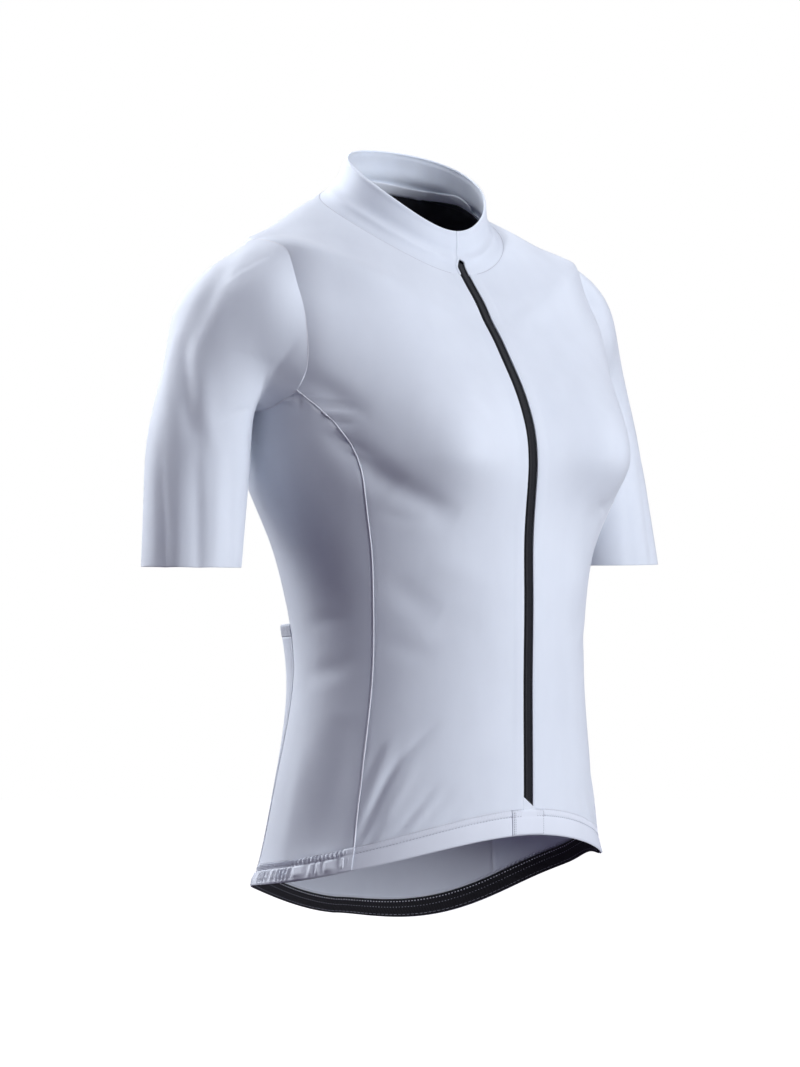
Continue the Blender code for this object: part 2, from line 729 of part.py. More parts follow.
def make_looks():
    return {
        "knit": material("white_knit", (0.80, 0.82, 0.88), 0.75),
        "hem": material("white_hem", (0.82, 0.84, 0.90), 0.70),
        "elastic": material("black_elastic", (0.02, 0.02, 0.025), 0.60),
        "lining": material("black_lining", (0.015, 0.015, 0.018), 0.85),
        "tape": material("zip_tape", (0.03, 0.03, 0.035), 0.70),
        "coil": material("zip_coil", (0.02, 0.02, 0.025), 0.40),
        "metal": material("slider_metal", (0.03, 0.03, 0.035), 0.35, metallic=1.0),
    }


def main():
    clear_scene()
    looks = make_looks()
    jersey = bpy.data.objects.new("jersey", None)
    bpy.context.scene.collection.objects.link(jersey)

    panels = Panels()
    loop = panels.armhole(panels.front, panels.side, panels.back)
    loop_normal = panels.armhole(panels.front_offset, panels.side_offset, panels.back_offset)
    sleeve = sleeve_grid(loop)
    sleeve_offset = grid_normals(sleeve, closed=True)
    sleeve_offset[0] = mitre(loop_normal, sleeve_offset[0])
    panels.share_armhole(sleeve_offset[0])

    neck = panels.neck(panels.front, panels.back)
    neck_normal = panels.neck(panels.front_offset, panels.back_offset)
    collar = collar_grid(neck)
    collar_offset = grid_normals(collar)
    collar_offset[0] = mitre(neck_normal, collar_offset[0])
    panels.share_neck(collar_offset[0])

    build_panels(panels, looks, jersey)
    build_sleeves(sleeve, sleeve_offset, looks, jersey)
    build_collar(collar, collar_offset, looks, jersey)
    hem = Hem(panels)
    build_hem(hem, looks, jersey)
    build_gathers(hem, looks, jersey)
    build_gripper(hem, looks, jersey)
    build_lining(panels, looks, jersey)
    build_zip(panels, looks, jersey)
    build_zip_foot(hem, looks, jersey)
    build_slider(looks, jersey)
    build_pockets(panels, looks, jersey)


main()
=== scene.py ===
"""Looks of a short-sleeved cycling jersey with a full zip, worn, with no wearer in it.

Metres, +Z up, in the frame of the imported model: the front faces -Y and the wearer's left
is +X. The jersey is laid out as its CAD solids are: an angle goes round the body from the
centre front towards the wearer's left, and a level goes up it, from 0 at the hem to 1 at
the neck seam. Each cloth piece is a thin shell on its solid's form with its creases in it.
"""

import math

import bmesh
import bpy
import numpy as np
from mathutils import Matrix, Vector


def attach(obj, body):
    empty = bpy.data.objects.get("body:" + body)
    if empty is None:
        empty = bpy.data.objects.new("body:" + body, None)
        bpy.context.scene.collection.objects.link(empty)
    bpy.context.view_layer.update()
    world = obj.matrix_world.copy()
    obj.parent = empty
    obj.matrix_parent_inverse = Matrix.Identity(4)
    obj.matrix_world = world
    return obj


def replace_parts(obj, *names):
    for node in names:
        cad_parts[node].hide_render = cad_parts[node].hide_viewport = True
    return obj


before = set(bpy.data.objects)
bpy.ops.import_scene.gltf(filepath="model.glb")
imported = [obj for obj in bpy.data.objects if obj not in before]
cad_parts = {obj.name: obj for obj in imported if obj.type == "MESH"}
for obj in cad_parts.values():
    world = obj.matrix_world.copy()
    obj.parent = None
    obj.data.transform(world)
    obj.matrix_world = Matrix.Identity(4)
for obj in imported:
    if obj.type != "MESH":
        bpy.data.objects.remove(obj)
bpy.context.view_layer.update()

# How thick each cloth and trim is
KNIT = 0.0009
HEM_BAND = 0.0016
COLLAR_CLOTH = 0.0020
GRIPPER = 0.0012
LINING = 0.0008
POCKET_CLOTH = 0.0010
POCKET_ELASTIC = 0.0018
CUFF_TAPE = 0.0005
NECK_TAPE = 0.0007
NECK_FACING_CLOTH = 0.0003
ZIP_TAPE = 0.0008
COIL_CLOTH = 0.0006
# How much of a raised trim's height its cloth is thick
TRIM_CLOTH_SHARE = 0.8
# The solids' knit walls, the gap at their seams, and the glue between bonded cloths
WALL = 0.0012
SEAM_GAP = 0.0003
GLUE = 0.0001

# Zip
ZIP_SLOT = 0.0104
ZIP_TAPE_HALF_WIDTH = 0.0054
ZIP_TAPE_COLUMNS = 12
ZIP_STITCHES_AT = 0.0041
ZIP_STARTS_AT = 0.4
ZIP_TOP_LEVELS = (0.13, 0.25)
COIL_HALF_WIDTH = 0.0025
COIL_RISE = 0.0008
TOOTH_PITCH = 0.00135
TOOTH_ASIDE = 0.0007
TOOTH_LENGTH = 0.0034
TOOTH_RADIUS = 0.00044
SLIDER_LEVELS = (0.262, 0.36, 0.46)
SLIDER_HALF_WIDTHS = (0.0030, 0.0042, 0.0036)
SLIDER_BODY = 0.0011
SLIDER_CROWN = 0.0006
SLIDER_TAB = 0.0008
SLIDER_TAB_INSIDE = 0.0015

# Patch over the foot of the zip, and the cover on it, whose top edge slants
ZIP_FOOT = 0.0009
ZIP_FOOT_HALF_WIDTH = 0.0175
ZIP_FOOT_SHARES = (0.02, 0.985)
ZIP_FOOT_EDGE = 0.0172
ZIP_FOOT_EDGE_DIP = 0.0005
COVER_CLOTH = 0.0008
COVER_STAND = 0.0003
COVER_HALF_WIDTH = 0.0060
COVER_TOP = (0.0225, 0.0035)
COVER_BELOW = 0.004

# Levels of the body where pieces begin and end, and the dip of the side panel's top edge
BAND_LEVEL = 0.050
UNDERARM_LEVEL = 0.722
TIP_LEVEL = 0.890
UNDERARM_DIP = 0.024

# Rows and columns of cloth, apart from the finer ones beside the seams
LOW_ROWS = 120
ARM_ROWS = 44
YOKE_ROWS = 24
BAND_ROWS = 30
FRONT_COLUMNS = 66
SIDE_COLUMNS = 30
BACK_COLUMNS = 130
SLEEVE_ROWS = 96
COLLAR_ROWS = 30
HEM_SIDE_COLUMNS = 232
POCKET_ROWS = 64
POCKET_COLUMNS = 72
CUFF_ROWS = 8
LINING_INSET = 4

# Meshes: edges from SHARP_FROM up are shaded sharp. A bead's stations are places along it,
# each with a share of its radius.
SHARP_FROM = math.radians(52)
TUBE_SIDES = 8
BEAD_SIDES = 6
BEAD_STATIONS = ((-0.5, 0.4), (-0.36, 0.9), (0.0, 1.0), (0.36, 0.9), (0.5, 0.4))

# Seams: how far the cloth turns in at them and stands up beside them
SEAM_DIP = 0.00020
SEAM_DIP_WIDTH = 0.0011
SEAM_RISE = 0.00010
SEAM_RISE_AWAY = 0.0034
SEAM_RISE_WIDTH = 0.0022
SEAM_FADE = 0.02
ZIP_EDGE_DIP = 0.00050
FACING_RISE = 0.00035
FACING_WIDTH = 0.0095
FACING_STEP = 0.0016
# Name, radius, height on the cloth and look of the cord in each kind of seam
SEAM_TUBES = (
    ("piping_", 0.00052, 0.0003, "piping"),
    ("band_piping_", 0.00055, 0.00045, "piping"),
    ("side_seam_", 0.0003, -0.00015, "thread"),
    ("armhole_seam_", 0.00032, 0.0, "piping"),
)

# Collar: its rolled top edge, and the tape inside it as shares of the way round
COLLAR_ROLL = 0.00040
COLLAR_ROLL_BELOW = 0.0012
COLLAR_ROLL_WIDTH = 0.0016
# Level up the collar, height in millimetres and width as a share of the collar's height
COLLAR_BEND = ((0.34, 1.1, 0.07), (0.50, -0.6, 0.11))
GARAGE_EDGE_INSET = 0.35
NECK_TAPE_STAND = 0.0007
NECK_TAPE_WIDTH = 0.0102
NECK_TAPE_SHARES = (0.22, 0.78)
BELOW_COLLAR = 0.01

# Hem: stitch rows as shares of the band's height, and its gathers
BAND_HEIGHT = 0.0205
BAND_PUFF = 0.00030
BAND_DIP = 0.00045
BAND_DIP_WIDTH = 0.035
STITCH_ROWS = (0.76, 1.02)
STITCH_PITCH = 0.0028
STITCHES_STOP = 0.008
STITCH_SINK = 0.0001
STITCH_RISE = 0.0003
# Radians past the princess seam where the rows of the front end and those of the side begin
FRONT_ROWS_END = 0.06
SIDE_ROWS_BEGIN = 0.07
FINE_GATHERS = 40
BROAD_GATHERS = 19
GATHER_FINE = 0.0017
GATHER_BROAD = 0.0019
# Sizes, waves round the side and shifts of how the gathers wander
GATHER_WANDER = ((0.35, 1.7, 0.5), (0.2, 4.3, 0.0))
GATHER_LEAN = 1.6
# Shares of the band's height, and then of its side, over which the gathers fade
ROW_GATHERS = 0.13
GATHERS_BELOW_ROWS = 0.15
GATHERS_AT_FOOT = 0.35
GATHERS_BEGIN = 0.04
GATHERS_END = 0.12
TAB_SHARES = (-0.004, 0.068)
TAB_COLUMNS = 7
TAB_STAND = 0.0009
TAB_EDGE_DIP = 0.0005
TAB_EDGE_WIDTH = 0.01
GRIPPER_SHARES = (0.02, 0.92)
GRIPPER_ROWS = 12
GRIPPER_STEP = 4
# Name, share of the gripper's height, look, and pitch, length and radius of its stitches
GRIPPER_STITCHES = (
    ("gripper_top_stitches", 0.93, "thread", 0.0028, 0.0014, 0.00044),
    ("gripper_low_stitches", 0.66, "shade", 0.0028, 0.0012, 0.0003),
    ("gripper_edge_dashes", 0.16, "shade", 0.004, 0.003, 0.0002),
)

# Pockets
POCKET_TOP = 0.33295
MOUTH_TOP = 0.35275
SEWN_EDGE = 0.16
POCKET_BULGE = 0.0095
POCKET_SLACK = 0.0007
SLACK_WAVES = (0.9, 0.35)
SLACK_FADE = 0.4
POCKET_PUCKERS = 17
POCKET_PUCKER = 0.0003
PUCKER_FADE = 0.05
POCKET_EDGE = 0.0004
TRIM_EDGE = 0.0009
TRIM_EDGE_DIP = 0.0004
TRIM_GAP = 0.0007

# Bust
BUST_RISE = 0.030
BUST_APART = 0.088
BUST_HALF_WIDTH = 0.052
BUST_HEIGHT = -0.214
BUST_ABOVE = 0.062
BUST_BELOW = 0.036

# How many millimetres the chest goes in, or stands out where it is under 0, at the front of
# each armhole, over how many that fades on the chest and on the sleeve, and the same for the
# shoulder's corner
CHEST_FULLNESS = {"sleeve_left": -1.5, "sleeve_right": -6.0}
CHEST_FADE = 28.0
SLEEVE_FADE = 36.0
SHOULDER_DROP = {"sleeve_left": 4.5, "sleeve_right": 0.0}
SHOULDER_FADE = 17.0

# How the back of the hem hangs lower on the wearer's left, and the side above it higher
LOWER_ON_LEFT = 0.062
HIGHER_ON_RIGHT = 0.020
RAISED_ON_LEFT = 0.0095
RAISED_AT_Y = -0.056
RAISED_OVER_Y = 0.031
HEM_HALF_WIDTH = 0.162
HEM_SIDE_Y = -0.022
HEM_REACH = 0.122
ASKEW_FROM_Z = -0.430
ASKEW_OVER_Z = 0.120


def spline(knots, values, at):
    """Natural cubic spline through rows of values, which may be numbers or points."""
    knots = np.asarray(knots, float)
    values = np.asarray(values, float)
    step = np.diff(knots)
    flat = values.reshape(len(knots), -1)
    slope = np.diff(flat, axis=0) / step[:, None]
    matrix = np.eye(len(knots))
    bend = np.zeros_like(flat)
    for i in range(1, len(knots) - 1):
        matrix[i, i - 1 : i + 2] = step[i - 1], 2 * (step[i - 1] + step[i]), step[i]
        bend[i] = 6 * (slope[i] - slope[i - 1])
    bend = np.linalg.solve(matrix, bend)
    at = np.asarray(at, float)
    i = np.clip(np.searchsorted(knots, at) - 1, 0, len(step) - 1)
    h = step[i][..., None]
    below = at[..., None] - knots[i][..., None]
    above = h - below
    result = (bend[i] * above**3 + bend[i + 1] * below**3) / (6 * h)
    result += (flat[i] / h - bend[i] * h / 6) * above
    result += (flat[i + 1] / h - bend[i + 1] * h / 6) * below
    return result.reshape(at.shape + values.shape[1:])


class Table:
    """Rows under named columns, read smoothly between the rows along the first column."""

    def __init__(self, columns, *rows):
        self.columns = columns.split()
        self.rows = np.array(rows, float)

    def __call__(self, name, at):
        return spline(self.rows[:, 0], self.rows[:, self.columns.index(name)], at)


BODY = Table(
    "level  z_front  z_side  z_back  half_width  y_front  y_side  y_back  ease  square",
    (0, -0.527, -0.566, -0.606, 0.162, -0.152, -0.022, 0.1045, 0.5, 2),
    (0.05, -0.5065, -0.549, -0.591, 0.1545, -0.152, -0.023, 0.0995, 0.5, 2),
    (0.15, -0.455, -0.48, -0.504, 0.141, -0.1518, -0.029, 0.087, 0.5, 2),
    (0.26, -0.398, -0.405, -0.41, 0.13, -0.1516, -0.036, 0.073, 0.5, 2),
    (0.4, -0.33, -0.332, -0.332, 0.1345, -0.1525, -0.033, 0.082, 0.4, 2),
    (0.5, -0.283, -0.286, -0.284, 0.1465, -0.1525, -0.029, 0.0865, 0.3, 2.1),
    (0.58, -0.244, -0.248, -0.244, 0.164, -0.155, -0.025, 0.089, 0.2, 2.2),
    (0.66, -0.204, -0.208, -0.205, 0.173, -0.1545, -0.019, 0.092, 0.1, 2.3),
    (0.722, -0.175, -0.1605, -0.172, 0.176, -0.1465, -0.01, 0.0935, 0, 2.3),
    (0.755, -0.156, -0.1402, -0.152, 0.1765, -0.1375, -0.007, 0.0935, 0, 2.3),
    (0.79, -0.135, -0.1085, -0.13, 0.177, -0.1245, -0.004, 0.0925, 0, 2.3),
    (0.82, -0.121, -0.087, -0.111, 0.173, -0.1155, -0.002, 0.091, 0, 2.3),
    (0.845, -0.112, -0.0711, -0.095, 0.169, -0.109, -0.001, 0.089, 0, 2.25),
    (0.87, -0.105, -0.045, -0.079, 0.164, -0.1035, 0, 0.087, 0, 2.2),
    (0.89, -0.0995, -0.0355, -0.065, 0.161, -0.0995, 0, 0.085, 0, 2.15),
    (0.93, -0.087, -0.028, -0.032, 0.135, -0.0915, 0.001, 0.08, 0, 2.3),
    (0.965, -0.0745, -0.016, -0.006, 0.108, -0.0815, 0.001, 0.0735, 0, 2.25),
    (1, -0.062, -0.0085, 0.018, 0.083, -0.0715, 0, 0.064, 0, 2.1),
)
PRINCESS = Table(
    "level  angle",
    (0, 64), (0.15, 65), (0.26, 65.5), (0.4, 63.2), (0.48, 61.5), (0.56, 60.8), (0.64, 62),
    (0.69, 66.5), (0.722, 74.5),
)
SIDE_BACK = Table(
    "level  angle",
    (0, 116), (0.26, 117), (0.55, 112), (0.722, 106),
)
ARMHOLE = Table(
    "level  front  back",
    (0.722, 74.5, 106), (0.755, 70.6, 109), (0.79, 70.4, 111), (0.82, 72.4, 110),
    (0.845, 75, 108), (0.868, 77.8, 103), (0.882, 83.2, 97), (0.89, 92, 92),
)
SHOULDER_ANGLE = math.radians(92.0)
STEADY_FRONT = math.radians(66.0)
STEADY_BACK = math.radians(110.0)
SLEEVE = Table(
    "along  outer_x  outer_z  inner_x  inner_z  y_front  y_back",
    (0.15, 0.185, -0.049, 0.18, -0.1815, -0.052, 0.064),
    (0.35, 0.2175, -0.079, 0.179, -0.1885, -0.04, 0.068),
    (0.55, 0.2365, -0.13, 0.1775, -0.1985, -0.034, 0.06),
    (0.75, 0.259, -0.2, 0.1765, -0.223, -0.033, 0.056),
    (0.88, 0.2675, -0.252, 0.183, -0.258, -0.036, 0.049),
    (1, 0.2745, -0.3055, 0.192, -0.3065, -0.04, 0.042),
)
COLLAR = Table(
    "level  z_front  z_side  z_back  half_width  y_front  y_side  y_back  square",
    (0, -0.062, -0.0085, 0.018, 0.083, -0.0715, 0, 0.064, 2),
    (0.3, -0.05, -0.001, 0.025, 0.0735, -0.064, -0.001, 0.0575, 2),
    (0.65, -0.038, 0.0115, 0.038, 0.0665, -0.0625, -0.0045, 0.051, 2),
    (1, -0.0255, 0.0238, 0.049, 0.063, -0.0614, -0.008, 0.045, 2),
)


def unit(vectors):
    return vectors / np.linalg.norm(vectors, axis=-1, keepdims=True)


def mitre(first, second):
    """The offset that lies a thickness of 1 inside both of two surfaces that meet."""
    both = first + second
    return 2 * both / (both * both).sum(axis=-1, keepdims=True)


def ease_in_out(x):
    x = np.clip(x, 0, 1)
    return x * x * (3 - 2 * x)


def hill(x, width, middle=0.0):
    """1 at the middle, and 1/e a width away from it."""
    return np.exp(-(((x - middle) / width) ** 2))


def between(first, second, share):
    return first + (second - first) * share


def ring(table, angle, level, ease=0.0):
    """Points of the rings of a table with front, side and back columns."""
    ahead = np.cos(angle)
    aside = np.sin(angle)
    y_front, y_side, y_back = (table("y_" + end, level) for end in ("front", "side", "back"))
    z_front, z_side, z_back = (table("z_" + end, level) for end in ("front", "side", "back"))
    reach = np.where(ahead > 0, y_side - y_front, y_back - y_side)
    square = table("square", level)
    radius = np.abs(ahead / reach) ** square
    radius += np.abs(aside / table("half_width", level)) ** square
    radius **= -1 / square
    tilt = (z_front - z_back) / 2
    sag = (z_front + z_back) / 2 - z_side
    lean = (1 - ease) * ahead + ease * ahead * np.abs(ahead)
    z = z_side + tilt * lean + sag * ahead**2
    return np.stack((radius * aside, y_side - radius * ahead, z), axis=-1)


def bust(x, z):
    """How far the bust darts push the front out."""
    away = z - BUST_HEIGHT
    reach = np.where(away > 0, BUST_ABOVE, BUST_BELOW)
    return BUST_RISE * hill(np.abs(x), BUST_HALF_WIDTH, BUST_APART) * hill(away, reach)


def body(angle, level):
    angle, level = np.broadcast_arrays(np.asarray(angle, float), np.asarray(level, float))
    points = ring(BODY, angle, level, BODY("ease", level))
    front = ease_in_out(np.cos(angle) / 0.5)
    points[..., 1] -= front * bust(points[..., 0], points[..., 2])
    return points


def body_normal(angle, level):
    angle, level = np.broadcast_arrays(np.asarray(angle, float), np.asarray(level, float))
    step = 1e-4
    across = body(angle + step, level) - body(angle - step, level)
    up = body(angle, level + step) - body(angle, level - step)
    return unit(np.cross(across, up))


def on_body(angle, level):
    """Points of the body and the directions out of it."""
    return body(angle, level), body_normal(angle, level)


def grid_normals(points, closed=False):
    """Normals of a grid, out of the side where its columns run anticlockwise."""
    along = np.gradient(points, axis=0)
    if closed:
        across = np.roll(points, -1, axis=1) - np.roll(points, 1, axis=1)
    else:
        across = np.gradient(points, axis=1)
    return unit(np.cross(across, along))


def hang_askew(points):
    """The hem hangs lower at the back of the wearer's left than of the right."""
    x, y, z = np.moveaxis(points, -1, 0)
    behind = np.clip((y - HEM_SIDE_Y) / HEM_REACH, 0, 1) ** 2
    beside = hill(y, RAISED_OVER_Y, RAISED_AT_Y)
    low = ease_in_out((ASKEW_FROM_Z - z) / ASKEW_OVER_Z)
    aside = np.abs(x) / HEM_HALF_WIDTH
    on_left = RAISED_ON_LEFT * aside * beside - LOWER_ON_LEFT * aside**1.5 * behind
    on_right = HIGHER_ON_RIGHT * aside * behind
    moved = points.copy()
    moved[..., 2] += low * np.where(x > 0, on_left, on_right)
    return moved


def mirrored(grid):
    """A grid on the wearer's other side, its columns still running anticlockwise."""
    return grid[:, ::-1] * np.array((-1.0, 1.0, 1.0))


def fine_shares(count):
    """Even shares from 0 to 1, with the first and the last step cut finer for the seams."""
    even = np.linspace(0, 1, count + 1)
    finer = even[1] * np.array((0.15, 0.35, 0.62))
    return np.concatenate((even[:1], finer, even[1:-1], 1 - finer[::-1], even[-1:]))


def spread(start, end, share):
    """Angles from start to end, a row for each of their levels."""
    return start[:, None] + (end - start)[:, None] * share


def zip_edge(level, x, table=BODY):
    """Angle at which the front of a table's rings is x from the centre line."""
    reach = table("y_side", level) - table("y_front", level)
    return np.arctan(x / reach)


FRONT_SHARES = fine_shares(FRONT_COLUMNS)
SIDE_SHARES = fine_shares(SIDE_COLUMNS)
BACK_SHARES = fine_shares(BACK_COLUMNS)
SLEEVE_DOWN = fine_shares(SLEEVE_ROWS)
SLEEVE_LENGTH = 0.27
LOW_LEVELS = between(BAND_LEVEL, UNDERARM_LEVEL, fine_shares(LOW_ROWS))
LOW_COUNT = len(LOW_LEVELS)
ARM_SHARES = np.sin(np.linspace(0, 1.33, ARM_ROWS + 1))
ARM_LEVELS = UNDERARM_LEVEL + (TIP_LEVEL - UNDERARM_LEVEL) * ARM_SHARES / ARM_SHARES[-1]
YOKE_LEVELS = between(TIP_LEVEL, 1.0, fine_shares(YOKE_ROWS))
PANEL_LEVELS = np.concatenate((LOW_LEVELS, ARM_LEVELS[1:], YOKE_LEVELS[1:]))
ARM_SPAN = slice(LOW_COUNT - 1, LOW_COUNT + ARM_ROWS)


def panel_edge(seam, seam_column, armhole_column):
    """Angles of a panel's side edge: its seam, then the armhole, then the shoulder."""
    low = np.radians(seam(seam_column, LOW_LEVELS))
    arm = np.radians(ARMHOLE(armhole_column, ARM_LEVELS[1:]))
    yoke = np.full(len(YOKE_LEVELS) - 1, SHOULDER_ANGLE)
    return np.concatenate((low, arm, yoke))


def underarm_levels(angles):
    """Levels of the side panel, whose top edge dips under the arm."""
    share = (angles - angles[:, :1]) / (angles[:, -1:] - angles[:, :1])
    climb = (LOW_LEVELS / UNDERARM_LEVEL)[:, None]
    return LOW_LEVELS[:, None] - UNDERARM_DIP * 4 * share * (1 - share) * climb**6


def front_spread(zip_line, edge, share=FRONT_SHARES):
    """Columns of a front, which bend with its outer edge only near that edge."""
    steady = np.full_like(edge, STEADY_FRONT)
    return spread(zip_line, steady, share) + (edge - STEADY_FRONT)[:, None] * share**4


def back_spread(edge, share=BACK_SHARES):
    """Columns of the back, which bend with its edges only near them."""
    steady = np.full_like(edge, STEADY_BACK)
    near_edges = (1 - share) ** 8 - share**8
    angles = spread(steady, 2 * math.pi - steady, share)
    return angles + (edge - STEADY_BACK)[:, None] * near_edges


class Panels:
    """Points and offsets of the back and of the panels on the wearer's left side."""

    def __init__(self):
        front_edge = panel_edge(PRINCESS, "angle", "front")
        back_edge = panel_edge(SIDE_BACK, "angle", "back")
        low = slice(0, LOW_COUNT)
        levels = PANEL_LEVELS[:, None]
        front = front_spread(zip_edge(PANEL_LEVELS, ZIP_SLOT / 2), front_edge)
        back = back_spread(back_edge)
        side = spread(front_edge[low], back_edge[low], SIDE_SHARES)
        self.front, self.front_offset = on_body(front, levels)
        self.side, self.side_offset = on_body(side, underarm_levels(side))
        self.back, self.back_normal = on_body(back, levels)
        self.back_offset = self.back_normal.copy()

    def armhole(self, front, side, back):
        """A closed run of values: under the arm, up the back edge, down the front edge."""
        climb = back[ARM_SPAN, 0]
        descent = front[ARM_SPAN, -1][::-1]
        return np.concatenate((side[-1], climb[1:], descent[1:-1]))

    def share_armhole(self, offsets):
        """Gives the panels the offsets that the sleeve has at each armhole point."""
        under = len(SIDE_SHARES)
        tip = under + ARM_ROWS
        climb = offsets[under - 1 : tip]
        descent = np.concatenate((offsets[tip - 1 :], offsets[:1]))
        self.side_offset[-1] = offsets[:under]
        self.back_offset[ARM_SPAN, 0] = climb
        self.back_offset[ARM_SPAN, -1] = climb * (-1, 1, 1)
        self.front_offset[ARM_SPAN, -1] = descent[::-1]

    def neck(self, front, back):
        """Values round the neck seam, from the left of the zip to its right."""
        right = front[-1][::-1] * (-1, 1, 1)
        return np.concatenate((front[-1], back[-1][1:-1], right))

    def share_neck(self, offsets):
        """Gives the panels the offsets that the collar has at each neck point."""
        front = len(FRONT_SHARES)
        self.front_offset[-1] = offsets[:front]
        self.back_offset[-1, 1:-1] = offsets[front:-front]
        self.back_offset[-1, 0] = offsets[front - 1]
        self.back_offset[-1, -1] = offsets[front - 1] * (-1, 1, 1)


def sleeve_grid(loop):
    """The left sleeve's points, from the armhole's loop to the cuff."""
    centre = (loop.max(axis=0) + loop.min(axis=0)) / 2
    half = (loop.max(axis=0) - loop.min(axis=0)) / 2
    turn = np.arctan2(-(loop[:, 1] - centre[1]) / half[1], (loop[:, 2] - centre[2]) / half[2])
    up = (1 + np.cos(turn)) / 2
    rings = [loop]
    for _, outer_x, outer_z, inner_x, inner_z, y_front, y_back in SLEEVE.rows:
        y = (y_front + y_back) / 2 - (y_back - y_front) / 2 * np.sin(turn)
        ends = between(inner_x, outer_x, up), y, between(inner_z, outer_z, up)
        rings.append(np.stack(ends, axis=-1))
    knots = np.concatenate(((0.0,), SLEEVE.rows[:, 0]))
    return spline(knots, np.array(rings), SLEEVE_DOWN)


def collar_front(level):
    """x of the collar's left and right front ends, which leave room for the zip's top."""
    half_slot = ZIP_SLOT / 2 + SEAM_GAP / 2
    steps = (0.0, 0.15, 0.28, 0.36, 1.0)
    left = (half_slot, half_slot, half_slot, 0.0004, 0.0004)
    right = (-half_slot, -half_slot, -0.0030, -0.0008, -0.0004)
    return np.interp(level, steps, left), np.interp(level, steps, right)


def collar_grid(neck):
    """The collar's points, one column for each point of the neck seam."""
    levels = fine_shares(COLLAR_ROWS)
    turn = np.arctan2(neck[:, 0], -neck[:, 1])
    turn = np.where(turn < 0, turn + 2 * math.pi, turn)
    left, right = (zip_edge(levels, x, COLLAR) for x in collar_front(levels))
    share = (turn - turn[0]) / (turn[-1] - turn[0])
    points = ring(COLLAR, spread(left, 2 * math.pi + right, share), levels[:, None])
    points[0] = neck
    return points


def collar_points(levels, x):
    """Points of the collar at a distance from the centre line."""
    return ring(COLLAR, zip_edge(levels, x, COLLAR), levels)


# ---- creases

